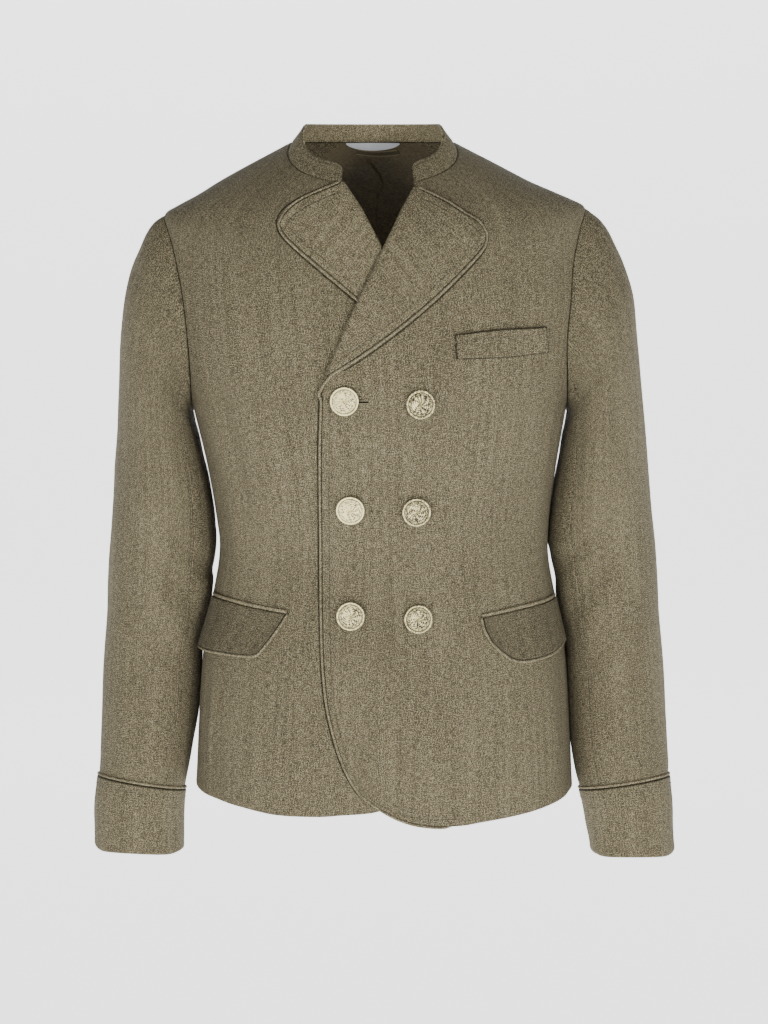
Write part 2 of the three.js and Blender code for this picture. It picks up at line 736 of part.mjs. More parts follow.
// A point of the sleeve's outer face: turn is 0 outside, 90 in front, 180 inside
function sleeveSkin(turn, ring) {
  const point = sleeveRing(turn, ring);
  const fade = 1 - THREE.MathUtils.smoothstep(ring, 0, ARMHOLE_FADE);
  return point.addScaledVector(armholeRing(turn).sub(sleeveRing(turn, 0)), fade);
}

function sleeveAt(side, turn, ring, out) {
  const low = Math.max(ring - 0.05, 0);
  const around = sleeveSkin(turn + 1, ring).sub(sleeveSkin(turn - 1, ring));
  const down = sleeveSkin(turn, low + 0.1).sub(sleeveSkin(turn, low));
  const normal = around.cross(down).normalize();
  const shape = out - sleeveFold(turn, ring);
  const point = sleeveSkin(turn, ring).addScaledVector(normal, shape);
  const lean = bodyColumns.lean(Math.max(point.z, BODY[0].z));
  return new THREE.Vector3(lean + side * point.x, point.y, point.z);
}

function sleeveGrid(side, from, to, columns, rings, out) {
  return rings.map((ring) => {
    const gap = (turn) => {
      const perDegree = sleeveSkin(turn + 1, ring).distanceTo(sleeveSkin(turn - 1, ring)) / 2;
      return HALF_SEAM / perDegree;
    };
    const turns = spread(from + gap(from), to - gap(to), columns);
    return turns.map((turn) => sleeveAt(side, turn, ring, out));
  });
}

function sleeveWall(side, from, to, columns) {
  const layer = (out) => sleeveGrid(side, from, to, columns, SLEEVE_RINGS, out);
  return wall(layer(0), layer(-CLOTH));
}

function cuffRing(side, ring, out) {
  const turns = spread(0, 360, CUFF_COLUMNS).slice(0, -1);
  return turns.map((turn) => sleeveAt(side, turn, ring, out));
}

function cuffWall(side) {
  const rings = spread(CUFF_START, CUFF_END, CUFF_ROWS);
  const layer = (out) => rings.map((ring) => cuffRing(side, ring, out));
  return wall(layer(CUFF_GAP + CLOTH), layer(CUFF_GAP), true);
}

function cuffPiping(side) {
  return cord(cuffRing(side, CUFF_PIPING_RING, CUFF_GAP + PIPE_RADIUS), PIPE_RADIUS, true);
}

// A flap: a patch on the front whose lower rear corner stands off the body
function flapGrid(flap) {
  const front = curve(flap.front);
  const rear = curve(flap.rear);
  const shares = spread(0, 1, FLAP_ROWS);
  return pattern({
    left: shares.map((share) => front(1 - share)),
    right: shares.map(rear),
    bottom: curve(flap.bottom),
    top: curve(flap.top),
    places: () => spread(0, 1, FLAP_COLUMNS),
  });
}

function flapOut(side, flap, row, col, angle, z) {
  const hang = (1 - row / FLAP_ROWS) ** FLAP_CURL;
  return frontOut(side, angle, z) + LAY + hang * mix(...flap.flare, col / FLAP_COLUMNS);
}

function flapWall(side, flap, grid) {
  return bodyWall(
    grid,
    (angle, z, row, col) => flapOut(side, flap, row, col, angle, z) + FLAP_CLOTH,
    (angle, z, row, col) => flapOut(side, flap, row, col, angle, z),
  );
}

function flapPiping(side, flap, grid) {
  const front = grid.map((line, row) => ({ at: line[0], row, col: 0 })).reverse().slice(0, -1);
  const bottom = grid[0].map((at, col) => ({ at, row: 0, col }));
  const edge = [...front, ...bottom];
  const radius = (z) => bodyColumns.width(z) * MEAN_RADIUS;
  const flat = edge.map(({ at: [angle, z] }) => [radians(angle) * radius(z), z]);
  const moved = movedOut(flat, -side);
  return cord(edge.map(({ at: [angle, z], row, col }, i) => {
    const out = flapOut(side, flap, row, col, angle, z) + FLAP_CLOTH / 2;
    return bodyAt(degrees(moved[i][0] / radius(z)), moved[i][1], out);
  }), PIPE_RADIUS);
}

function jettingWall(side, grid) {
  const topLine = grid[grid.length - 1];
  const strip = [JETTING.gap, JETTING.gap + JETTING.height].map((up) => (
    topLine.map(([angle, z]) => [angle, z + up])));
  const base = (angle, z) => frontOut(side, angle, z) + LAY;
  return bodyWall(strip, (angle, z) => base(angle, z) + JETTING.cloth, base);
}

function weltWall() {
  const low = curve(WELT.bottom);
  const high = curve(WELT.top);
  const grid = spread(0, 1, WELT.rows).map((v) => spread(0, 1, WELT.columns).map((u) => {
    const [x, z] = [0, 1].map((axis) => mix(low(u)[axis], high(u)[axis], v));
    return [angleAt(x, z), z];
  }));
  const base = (angle, z) => frontOut(1, angle, z) + LAY;
  return bodyWall(grid, (angle, z) => base(angle, z) + WELT.cloth, base);
}

function buttonShape() {
  const profile = BUTTON_PROFILE.map(([radius, height]) => new THREE.Vector2(radius, height));
  const geometry = new THREE.LatheGeometry(profile, BUTTON_SEGMENTS);
  geometry.deleteAttribute('normal');
  geometry.deleteAttribute('uv');
  return mergeVertices(geometry, 1e-3);
}

// Lining inside the back, with a pleat laid to one side of the centre
function liningWall() {
  const angles = [
    ...spread(LINING.from, PLEAT.from - PLEAT.side, LINING.columns),
    PLEAT.from, PLEAT.to,
    ...spread(PLEAT.to + PLEAT.side, LINING.to, LINING.columns),
  ];
  const heights = [
    ...spread(LINING.bottom, PLEAT.full, LINING.rows),
    ...spread(PLEAT.top, LINING.top, LINING.topRows),
  ];
  const grid = heights.map((z) => angles.map((angle) => [angle, z]));
  const pleat = (angle, z) => {
    const inside = angle >= PLEAT.from && angle <= PLEAT.to && z <= PLEAT.full;
    return inside ? PLEAT.out : 0;
  };
  return bodyWall(
    grid,
    () => LINING_OUT,
    (angle, z) => LINING_OUT - LINING.cloth - pleat(angle, z),
  );
}

function labelWall() {
  const grid = [1, 0].map((low) => spread(0, 1, LABEL.columns).map((u) => {
    const arch = Math.sqrt(Math.sin(Math.PI * mix(LABEL.end, 1 - LABEL.end, u)));
    return [mix(LABEL.from, LABEL.to, u), LABEL.top - low * (LABEL.least + LABEL.drop * arch)];
  }));
  return bodyWall(grid, () => LINING_FACE, () => LINING_FACE - LABEL.cloth);
}

function loopWall() {
  const grid = [-1, 1].map((half) => spread(0, 1, LOOP.columns).map((u) => {
    const z = LOOP.z - LOOP.sag * Math.sin(Math.PI * u) + (half * LOOP.wide) / 2;
    return [mix(LOOP.from, LOOP.to, u), z];
  }));
  return bodyWall(grid, () => LINING_FACE, () => LINING_FACE - LOOP.cloth);
}

const finishes = {
  cloth: new THREE.MeshStandardMaterial({ color: COLOURS.cloth, roughness: 0.9, metalness: 0 }),
  piping: new THREE.MeshStandardMaterial({ color: COLOURS.piping, roughness: 0.85, metalness: 0 }),
  lining: new THREE.MeshStandardMaterial({ color: COLOURS.lining, roughness: 0.6, metalness: 0 }),
  label: new THREE.MeshStandardMaterial({ color: COLOURS.label, roughness: 0.5, metalness: 0 }),
  metal: new THREE.MeshStandardMaterial({ color: COLOURS.metal, roughness: 0.45, metalness: 0.9 }),
};

const jacket = new THREE.Group();

function add(name, geometry, finish) {
  const mesh = new THREE.Mesh(geometry, finishes[finish]);
  mesh.name = name;
  jacket.add(mesh);
  return mesh;
}

for (const [name, front] of Object.entries(FRONTS)) {
  const { side } = front;
  const base = (angle, z) => frontOut(side, angle, z);
  const grid = frontGrid(front);
  const lapel = lapelGrid(front, LAPELS[name]);
  add(`front_${name}`, bodyWall(grid, base, (angle, z) => base(angle, z) - CLOTH), 'cloth');
  add(`back_${name}`, bodyWall(backGrid(side, front.sideHem), () => 0, () => -CLOTH), 'cloth');
  add(`lapel_${name}`, lapelWall(front, lapel), 'cloth');
  if (name === 'left') {
    add('piping_front_left', frontPiping(front, grid, lapel), 'piping');
  } else {
    add('piping_lapel_right', pipingOn(side, lapelPiping(side, lapel)), 'piping');
  }
  add(`sleeve_top_${name}`, sleeveWall(side, BACK_SEAM, 360 + FRONT_SEAM, TOP_COLUMNS), 'cloth');
  add(`sleeve_under_${name}`, sleeveWall(side, FRONT_SEAM, BACK_SEAM, UNDER_COLUMNS), 'cloth');
  add(`cuff_${name}`, cuffWall(side), 'cloth');
  add(`piping_cuff_${name}`, cuffPiping(side), 'piping');
  const flap = flapGrid(FLAPS[name]);
  add(`flap_${name}`, flapWall(side, FLAPS[name], flap), 'cloth');
  add(`piping_flap_${name}`, flapPiping(side, FLAPS[name], flap), 'piping');
  add(`jetting_${name}`, jettingWall(side, flap), 'cloth');
}

add('collar', collarWall(), 'cloth');
add('breast_welt', weltWall(), 'cloth');
add('back_lining', liningWall(), 'lining');
add('neck_label', labelWall(), 'label');
add('hanger_loop', loopWall(), 'lining');

BUTTONS.forEach(({ x, z }, i) => {
  const angle = angleAt(x, z);
  const button = add(`button_${i + 1}`, buttonShape(), 'metal');
  button.position.copy(bodyAt(angle, z, frontOut(1, angle, z) + SEAT_GAP));
  button.quaternion.setFromUnitVectors(new THREE.Vector3(0, 1, 0), bodyNormal(angle, z));
});

export default jacket;
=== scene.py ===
# %% [markdown]
# # Double-breasted jacket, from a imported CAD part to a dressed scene
#
# The CAD part holds the true form of a jacket that stands filled out, with no wearer. This
# script keeps its frame and puts finer cloth in place of each plain solid: woven linen with a
# grain, rounded edges, seams, rows of stitches, cords along the edges, lining and old metal
# buttons. Sizes in the tables are millimetres. Meshes are made in metres, in the CAD frame:
# +X is the wearer's left, -Y the front and +Z up.

import math

import bpy
import numpy as np
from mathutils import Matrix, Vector


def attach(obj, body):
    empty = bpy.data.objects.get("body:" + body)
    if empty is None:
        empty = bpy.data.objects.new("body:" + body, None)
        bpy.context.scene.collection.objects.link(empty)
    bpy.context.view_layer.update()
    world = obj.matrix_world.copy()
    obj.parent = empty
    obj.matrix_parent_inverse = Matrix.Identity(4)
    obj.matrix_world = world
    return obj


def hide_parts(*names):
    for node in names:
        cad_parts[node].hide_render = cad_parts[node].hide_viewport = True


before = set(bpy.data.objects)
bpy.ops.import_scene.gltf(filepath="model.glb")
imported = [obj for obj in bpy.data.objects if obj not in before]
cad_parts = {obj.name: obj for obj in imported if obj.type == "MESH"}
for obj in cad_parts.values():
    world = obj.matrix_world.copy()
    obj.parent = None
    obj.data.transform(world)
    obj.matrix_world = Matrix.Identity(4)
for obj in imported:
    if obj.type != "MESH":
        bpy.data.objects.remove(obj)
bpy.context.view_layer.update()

# %% [markdown]
# ## Thickness of cloth, cord and gaps
#
# A jacket is thin cloth in layers: a wall of two millimetres, cords along its edges, and hardly
# any room where one layer lies on another. These few sizes are shared by all pieces. They are the
# CAD part's own, so that every layer of cloth, cord and thread stays on the solids.

# %% Sizes that all pieces share
CLOTH = 2.2
SEAM = 0.3
HALF_SEAM = 0.2
LAY = 0.6
FLAP_CLOTH = 2.6
PIPE_RADIUS = 1.3
PIPE_REACH = PIPE_RADIUS - 0.2
SEAT_GAP = 0.4
# Millimetres in a metre, the step of points along an edge, and a distance that means far away
MM = 1000
LINE_STEP = 2.5
NONE = 99.0
print("cloth", CLOTH, "mm, cords", 2 * PIPE_RADIUS, "mm thick")

# %% [markdown]
# ## Curves
#
# A tailor draws with long smooth curves through a few points. A spline object would do, but its
# points can't be asked for by height or by share of its length. So `through` gives a curve by
# place that never overshoots its values, and `curve` gives an outline in front view.

# %% Curves through a few points
def through(places, values):
    x, y = np.asarray(places, float), np.asarray(values, float)
    step, rise = np.diff(x), np.diff(y) / np.diff(x)
    slope = np.concatenate([rise[:1], np.zeros(len(x) - 2), rise[-1:]])
    for i in range(1, len(x) - 1):
        if rise[i - 1] * rise[i] > 0:
            before, after = 2 * step[i] + step[i - 1], step[i] + 2 * step[i - 1]
            slope[i] = (before + after) / (before / rise[i - 1] + after / rise[i])

    def at(place):
        place = np.asarray(place, float)
        i = np.clip(np.searchsorted(x, place) - 1, 0, len(step) - 1)
        t = (place - x[i]) / step[i]
        far = t * t * (3 - 2 * t)
        leave = t * (1 - t) ** 2 * step[i] * slope[i]
        arrive = t * t * (t - 1) * step[i] * slope[i + 1]
        return y[i] * (1 - far) + y[i + 1] * far + leave + arrive

    return at


def through_pairs(pairs):
    return through(*zip(*pairs))


def curve(points):
    ends = np.array([points[0], *points, points[-1]], float)
    t = np.linspace(0, len(points) - 1, 401)
    i = np.minimum(t.astype(int), len(points) - 2)
    w = (t - i)[:, None]
    p0, p1, p2, p3 = (ends[i + k] for k in range(4))
    a, b = (p2 - p0) / 2, (p3 - p1) / 2
    line = (2 * p1 - 2 * p2 + a + b) * w**3 + (-3 * p1 + 3 * p2 - 2 * a - b) * w**2 + a * w + p1
    length = np.concatenate([[0], np.cumsum(np.linalg.norm(np.diff(line, axis=0), axis=1))])

    def at(share):
        along = np.clip(share, 0, 1) * length[-1]
        return np.stack([np.interp(along, length, line[:, k]) for k in (0, 1)], -1)

    return at


print("between 1 and 4:", float(through([0, 1, 2], [0, 1, 4])(1.5)))

# %% [markdown]
# ## Pattern pieces
#
# Cloth is cut as a pattern piece with four edges. A plain grid would leave steps along a curved
# edge. `pattern` fills the piece from its four edges instead, so that rows and columns end on them,
# and `columns` sets them closer together beside the edges, where the cloth turns.

# %% Fill a piece from its edges
def smooth(t):
    t = np.clip(t, 0, 1)
    return t * t * (3 - 2 * t)


def mix(a, b, t):
    return a * (1 - t) + b * t


def pattern(left, right, bottom, top, u):
    v = ((right[:, 1] - right[0, 1]) / (right[-1, 1] - right[0, 1]))[:, None, None]
    w = u[..., None]
    across = mix(left[:, None], right[:, None], w)
    along = mix(bottom(u), top(u), v)
    return across + along - mix(mix(left[0], right[0], w), mix(left[-1], right[-1], w), v)


def refined(values, times):
    values = np.asarray(values, float)
    return np.interp(np.arange(0, len(values) - 1 + 1e-9, 1 / times), range(len(values)), values)


EDGE_STEPS = np.array([0, 0.2, 0.6, 1.2, 2.2, 3.6])


def columns(width, count):
    """Shares across a piece, closer together at both edges. width is a size for each row."""
    ends = EDGE_STEPS / np.asarray(width, float)[:, None]
    middle = np.linspace(0, 1, count + 2)[1:-1]
    start = ends[:, -1:]
    return np.concatenate([ends, start + (1 - 2 * start) * middle, 1 - ends[:, ::-1]], 1)


print("shares across 100 mm:", columns([100.0], 3).round(3).tolist())

# %% [markdown]
# ## The body's outline
#
# A jacket that stands filled out has a rounded outline at every height: wide at the chest, narrow
# at the waist. It could be a tube shaped by hand. A short table of sizes by height was chosen,
# because every layer can then ask for the same surface at any angle and height.

# %% The outline by height
# z, half width, front depth, back depth, power of the rounded outline, lean to the left
BODY = np.array([
    [-700, 196, 138, 122, 2.4, 0], [-591, 191, 134, 117, 2.4, 0], [-522, 186, 129, 108, 2.35, 0],
    [-465, 176.5, 122, 97, 2.3, 0], [-405, 167.5, 118, 92, 2.3, 0], [-372, 170, 120, 95, 2.3, -1],
    [-330, 176, 124, 102, 2.3, -2], [-268, 188, 130, 114, 2.3, -4], [-230, 195, 129, 119, 2.3, -5],
    [-190, 201, 125, 121.5, 2.28, -6.5], [-155, 206, 119, 119.5, 2.22, -7],
    [-117, 209, 110, 114, 2.12, -9], [-90, 211, 102, 108, 2.03, -9.2],
    [-74, 212, 96.3, 103.4, 1.975, -9.4], [-68, 209.5, 94, 101.5, 1.96, -9.5],
    [-60, 196.5, 90.2, 98.6, 1.98, -9.75], [-52, 181, 86, 95.5, 2, -10], [-35, 148, 75.5, 88, 2.05, -10.6],
    [-20, 119.5, 66, 80, 2.08, -11], [-10, 100, 59, 74, 2.05, -11.3], [0, 81, 52, 66, 2.05, -11.5],
])
OVERLAP = [(-700, 3.1), (-268, 3.1), (-232, 5.6), (-96, 5.6), (-70, 3.2), (-42, 0.5), (0, 0)]
OVERLAP_FULL = 75
OVERLAP_GONE = 135
body = {
    name: through(BODY[:, 0], BODY[:, i + 1])
    for i, name in enumerate(("width", "front", "back", "square", "lean"))
}
overlap = through_pairs(OVERLAP)
print("waist", 2 * float(body["width"](-405)), "mm wide")

# %% [markdown]
# ## Soft folds
#
# Worn cloth is never quite even. Folds could be sculpted, but then no other layer would follow
# them. Each one here is a soft hollow or ridge with a place and a size, and a few slow waves lie
# under them. The first table is the CAD part's, and the second only refines the looks.

# %% Folds of the body
# Folds of the body: angle, z, half width in degrees, half length, depth (a ridge is negative)
BODY_FOLDS = [
    (-50, -290, 6, 85, 2.4), (-66, -345, 6, 60, 1.8), (54, -320, 6, 80, 2), (72, -385, 7, 60, 1.6),
    (118, -395, 9, 60, 2.4), (152, -405, 9, 75, 2), (-124, -400, 9, 60, 2.4), (-155, -410, 9, 75, 2),
    (140, -600, 10, 80, -2), (-136, -610, 10, 80, -2),
]
# Small folds that only the looks have: angle, z, half width in degrees, half length, depth
FINE_FOLDS = [
    (-72, -300, 3.2, 38, 1.1), (66, -292, 3, 40, 1.0), (-38, -215, 4, 36, 0.8),
    (100, -300, 4, 40, 1.3), (-103, -310, 4, 45, 1.3), (128, -250, 5, 50, 1.2),
    (-133, -255, 5, 45, 1.1), (165, -330, 5, 60, 1.1), (-168, -480, 6, 60, 0.9),
    (60, -585, 5, 55, -1.0), (-62, -590, 5, 50, -1.1), (20, -600, 4, 50, -0.7),
    (-28, -560, 4, 60, -0.7), (-51, -290, 3.4, 70, 1.3), (-68, -560, 5, 45, 1.5),
    (-56, -625, 5, 45, 1.4), (66, -560, 5, 50, 1.3), (74, -620, 5, 50, 1.3),
    (96, -560, 6, 70, -1.2), (-98, -570, 6, 65, -1.2),
]
FINE_DEPTH = 1.5


def turned(start, angle):
    return (angle - start + 180) % 360 - 180


def body_fold(angle, z):
    depth = 0.45 * np.sin(np.radians(4 * angle) + z / 61) * np.sin(z / 47 + 0.9)
    depth = depth + 0.3 * np.sin(np.radians(9 * angle) - z / 83 + 2.1)
    for folds, share in ((BODY_FOLDS, 1), (FINE_FOLDS, FINE_DEPTH)):
        for middle, height, wide, long, deep in folds:
            away = turned(middle, angle) / wide
            depth = depth + share * deep * np.exp(-(away**2) - ((z - height) / long) ** 2)
    return depth


print("deepest near the waist:", float(body_fold(np.arange(0.0, 360.0), -300.0).max().round(2)), "mm")

# %% [markdown]
# ## The skin that the cloth follows
#
# A point of the body is an angle round it and a height. Each layer of cloth is moved out from
# there along the surface's normal, as layers lie on each other in the real jacket. The shoulder is
# rolled by taking a weighted mean of nearby heights, and that keeps its seam free of a ridge.

# %% A point on the body
# How much higher the end of each shoulder lies than in the solids, by z
SHOULDER_SET = {
    1: [(-700, 0), (-115, 0), (-70, 4.5), (-52, 2.2), (-36, 0), (0, 0)],
    -1: [(-700, 0), (-115, 0), (-70, -2.5), (-52, -2.6), (-36, -0.5), (0, 0)],
}
shoulder_set = {side: through_pairs(pairs) for side, pairs in SHOULDER_SET.items()}
# Where along the shoulder that lift begins, and over what width it comes in
SHOULDER_END = {"from": 120, "over": 50}


def bare_skin(angle, z):
    across, ahead = np.sin(np.radians(angle)), np.cos(np.radians(angle))
    square = body["square"](z)
    size = (np.abs(across) ** square + np.abs(ahead) ** square) ** (-1 / square)
    x = body["width"](z) * size * across
    y = -np.where(ahead > 0, body["front"](z), body["back"](z)) * size * ahead
    shrink = 1 - body_fold(angle, z) / np.hypot(x, y)
    end = smooth((np.abs(x) - SHOULDER_END["from"]) / SHOULDER_END["over"])
    lift = np.where(x > 0, shoulder_set[1](z), shoulder_set[-1](z)) * end
    return np.stack([x * shrink + body["lean"](z), y * shrink, z + lift], -1)


# The cloth rolls over the shoulder: over this height, and only away from the side seam
SHOULDER_ROLL = {"height": 24, "from": -150, "full": -100, "side": 0.5}


def body_skin(angle, z):
    angle, z = np.broadcast_arrays(np.asarray(angle, float), np.asarray(z, float))
    away = smooth(np.abs(np.cos(np.radians(angle))) / SHOULDER_ROLL["side"])
    near = smooth((z - SHOULDER_ROLL["from"]) / (SHOULDER_ROLL["full"] - SHOULDER_ROLL["from"]))
    reach = np.minimum(SHOULDER_ROLL["height"] * away * near, -z)
    return sum(
        share / 16 * bare_skin(angle, z + reach * place)
        for share, place in ((1, -1), (4, -0.5), (6, 0), (4, 0.5), (1, 1))
    )


def unit(v):
    return v / np.linalg.norm(v, axis=-1, keepdims=True)


def body_normal(angle, z):
    around = body_skin(angle + 0.5, z) - body_skin(angle - 0.5, z)
    up = body_skin(angle, np.minimum(z + 1, 0)) - body_skin(angle, z - 1)
    return unit(np.cross(around, up))


def body_at(angle, z, out=0.0):
    angle, z = np.asarray(angle, float), np.asarray(z, float)
    return body_skin(angle, z) + body_normal(angle, z) * np.asarray(out)[..., None]


waist_ring = body_skin(np.arange(0.0, 361.0), -405.0)
waist = np.linalg.norm(np.diff(waist_ring, axis=0), axis=1).sum()
print("waist", round(float(waist)), "mm round")

# %% [markdown]
# ## Places on the skin
#
# A pattern is drawn flat, from the front, but the skin is asked for by angle. These helpers turn a
# width or a depth into the angle there. The neck is cut lower in front, and the wearer's left front
# lies over the right one, so that both have a rule of their own.

# %% From a drawing to the skin
NECK_DROP = 41
NECK_POWER = 2.4


def angle_at(x, z):
    square = body["square"](z)
    across = np.clip((x - body["lean"](z)) / body["width"](z), -0.9999, 0.9999)
    ahead = (1 - np.abs(across) ** square) ** (1 / square)
    return np.degrees(np.arctan2(across, ahead))


def angle_at_depth(side, y, z):
    square = body["square"](z)
    deep = np.where(y < 0, body["front"](z), body["back"](z))
    ahead = np.minimum(np.abs(y) / deep, 0.9999)
    across = (1 - ahead**square) ** (1 / square)
    return side * np.degrees(np.arctan2(across, np.where(y < 0, ahead, -ahead)))


def neck_height(angle):
    return -NECK_DROP * np.maximum(np.cos(np.radians(angle)), 0) ** NECK_POWER


def front_out(side, angle, z):
    if side < 0:
        return np.zeros(np.broadcast(angle, z).shape)
    x = body_skin(angle, z)[..., 0]
    return overlap(z) * smooth((OVERLAP_GONE - x) / (OVERLAP_GONE - OVERLAP_FULL))


print("neck, in front", -neck_height(0), "mm down")

# %% [markdown]
# ## Arithmetic for materials
#
# A material is a net of nodes, and nets with many sums are hard to read. `Maths` wraps one socket,
# so that a sum such as 1 - mask adds its own node. All nodes, in materials and in geometry groups,
# come from `add_node`: it takes the node's kind, its settings, and values or links of sockets.

# %% Sockets as numbers
def linear(hexcode):
    parts = [(hexcode >> shift & 255) / 255 for shift in (16, 8, 0)]
    return [p / 12.92 if p <= 0.04045 else ((p + 0.055) / 1.055) ** 2.4 for p in parts]


class Maths:
    """A socket that takes part in arithmetic."""

    def __init__(self, tree, socket):
        self.tree, self.socket = tree, socket

    def _do(self, operation, *others, swap=False):
        inputs = [self, *others]
        if swap:
            inputs.reverse()
        return make(self.tree, "ShaderNodeMath", {"operation": operation}, *inputs)

    def __add__(self, other):
        return self._do("ADD", other)

    def __sub__(self, other):
        return self._do("SUBTRACT", other)

    def __mul__(self, other):
        return self._do("MULTIPLY", other)

    def __truediv__(self, other):
        return self._do("DIVIDE", other)

    def __radd__(self, other):
        return self._do("ADD", other, swap=True)

    def __rsub__(self, other):
        return self._do("SUBTRACT", other, swap=True)

    def __rtruediv__(self, other):
        return self._do("DIVIDE", other, swap=True)

    def __rmul__(self, other):
        return self._do("MULTIPLY", other, swap=True)

    def sine(self):
        return self._do("SINE")

    def size(self):
        return self._do("ABSOLUTE")

    def step(self, low, high):
        """0 below low, 1 above high, smooth between."""
        settings = {"interpolation_type": "SMOOTHSTEP"}
        return make(self.tree, "ShaderNodeMapRange", settings, self, low, high)


def add_node(tree, kind, settings=None, *inputs, **named):
    """The one place where nodes are made: settings first, then values or links of sockets."""
    node = tree.nodes.new(kind)
    for name, value in (settings or {}).items():
        setattr(node, name, value)
    pairs = list(zip(node.inputs, inputs))
    pairs += [(node.inputs[name.replace("_", " ")], value) for name, value in named.items()]
    for socket, value in pairs:
        value = value.socket if isinstance(value, Maths) else value
        if isinstance(value, bpy.types.NodeSocket):
            tree.links.new(value, socket)
        elif value is not None:
            socket.default_value = value
    return node


def make(tree, kind, settings, *inputs, output=0, **named):
    return Maths(tree, add_node(tree, kind, settings, *inputs, **named).outputs[output])


print("black, grey and white:", linear(0x000000)[0], round(linear(0x808080)[0], 3), linear(0xFFFFFF)[0])

# %% [markdown]
# ## What every cloth needs
#
# Cloth has a grain, and its pattern has to turn with the piece. A pattern on the object's own
# coordinates would run straight on across a seam. So it is read from the UV map of each piece,
# which holds millimetres along weft and warp. Colour, roughness and bump are then set in one place.

# %% Noise, colours and grain
def noise(tree, u, v, fine=2.0, rough=0.5, seed=0.0):
    place = make(tree, "ShaderNodeCombineXYZ", {}, u, v, seed)
    settings = {"noise_dimensions": "3D"}
    return make(tree, "ShaderNodeTexNoise", settings, place, None, 1.0, fine, rough)


def blend_colours(tree, share, *colours):
    first, second = (c if isinstance(c, Maths) else [*c, 1] for c in colours)
    settings = {"data_type": "RGBA"}
    blank = [None] * 5
    return make(tree, "ShaderNodeMix", settings, share, *blank, first, second, output=2)


def new_material(name, **uniform):
    material = bpy.data.materials.new(name)
    material.use_nodes = True
    tree = material.node_tree
    shader = tree.nodes["Principled BSDF"]
    for socket, value in uniform.items():
        shader.inputs[socket.replace("_", " ")].default_value = value
    return material, tree, shader


def set_looks(tree, shader, colour, roughness, height, distance, strength=1.0):
    bump = make(tree, "ShaderNodeBump", {}, Strength=strength, Distance=distance, Height=height)
    for name, value in (("Normal", bump), ("Base Color", colour), ("Roughness", roughness)):
        if isinstance(value, Maths):
            tree.links.new(value.socket, shader.inputs[name])
        else:
            shader.inputs[name].default_value = value


def grain(tree):
    """Millimetres along weft and warp."""
    place = make(tree, "ShaderNodeUVMap", {"uv_map": "grain"})
    u = make(tree, "ShaderNodeSeparateXYZ", {}, place)
    v = Maths(tree, u.socket.node.outputs[1])
    return u * MM, v * MM


def attribute(tree, name):
    return make(tree, "ShaderNodeAttribute", {"attribute_name": name}, output=2)

# %% [markdown]
# ## Linen
#
# The jacket's linen is olive brown and looks sandy from near: uneven threads cross each other, and
# a few thick or dark ones stand out. A photo of cloth would tile. Here long thin noise makes the
# warp and the weft, a fine speck lies over them, and soft clouds and streaks make it less even.
# Beside a stitch row or in a crease, whose distance each piece carries, it sinks in and is painted darker,
# as painted shade.

# %% Weave the linen
LINEN = {
    "dark": linear(0x191610), "base": linear(0x504A39), "light": linear(0xA1987A),
    "warm": linear(0x654B2A), "cool": linear(0x4B534A),
}


def linen(name, shade=1.0, tilt=0.0, seed=0.0, lines=True):
    """Woven cloth. shade scales its colour as painted light or shade, tilt turns the grain, seed moves the
    pattern.
    """
    material, tree, shader = new_material(
        name, Sheen_Weight=0.03, Sheen_Roughness=0.5, Specular_IOR_Level=0.12
    )
    u, v = grain(tree)
    if tilt:
        c, s = math.cos(tilt), math.sin(tilt)
        u, v = u * c + v * s, v * c - u * s
    warp = noise(tree, u * 1.1, v * 0.15, 1, 0.5, seed)
    weft = noise(tree, u * 0.15, v * 1.1, 1, 0.5, seed + 7)
    speck = noise(tree, u * 1.15, v * 1.1, 1, 0.6, seed + 13)
    slub = noise(tree, u * 0.10, v * 1.1, 1, 0.4, seed + 21).step(0.68, 0.76)
    knot = noise(tree, u * 0.5, v * 0.4, 1, 0.4, seed + 27).step(0.74, 0.80)
    cloud = noise(tree, u * 0.014, v * 0.009, 2, 0.5, seed + 31)
    streak = noise(tree, u * 0.22, v * 0.007, 2, 0.5, seed + 37)
    tone = (warp - 0.5) * 0.85 + (weft - 0.5) * 0.75 + (speck - 0.5) * 3.0 + 0.5
    tone = tone + (cloud - 0.5) * 0.16 + (streak - 0.5) * 0.34 + slub * 0.14 - knot * 0.30
    paint = {key: [c * shade for c in value] for key, value in LINEN.items()}
    low = blend_colours(tree, tone.step(-0.15, 0.60), paint["dark"], paint["base"])
    colour = blend_colours(tree, tone.step(0.40, 1.15), low, paint["light"])
    hue = noise(tree, u * 0.9, v * 0.9, 1, 0.5, seed + 43)
    colour = blend_colours(tree, hue.step(0.50, 0.72) * 0.35, colour, paint["warm"])
    colour = blend_colours(tree, (1 - hue).step(0.50, 0.72) * 0.32, colour, paint["cool"])
    threads = (u * (2 * math.pi / 0.95)).sine() * (v * (2 * math.pi / 0.85)).sine()
    height = threads * 0.10 + (warp + weft) * 0.3 + speck * 0.3 + slub * 0.2
    if lines:
        # Painted shade: stitch grooves and creases are darkened, where less light gets in
        groove = 1 - attribute(tree, "stitch").size().step(0.2, 1.4)
        valley = 1 - attribute(tree, "crease").size().step(0.1, 1.5)
        wear_and_painted_shade = groove * 0.26 + valley * 0.80
        colour = blend_colours(tree, wear_and_painted_shade, colour, [c * 0.5 for c in paint["dark"]])
        height = height - groove * 0.6 - valley * 0.7
    set_looks(tree, shader, colour, 0.82 + (warp - 0.5) * 0.2, height, 0.0006)
    return material

# %% [markdown]
# ## Lining, label and loop
#
# The lining is a dark satin with a faint weave, the label a white ribbed tab that stays blank, and
# the hanger loop a dark band with pale edges. Each could be the linen in another colour, but their
# weaves have nothing in common with it, so each has its own short function.

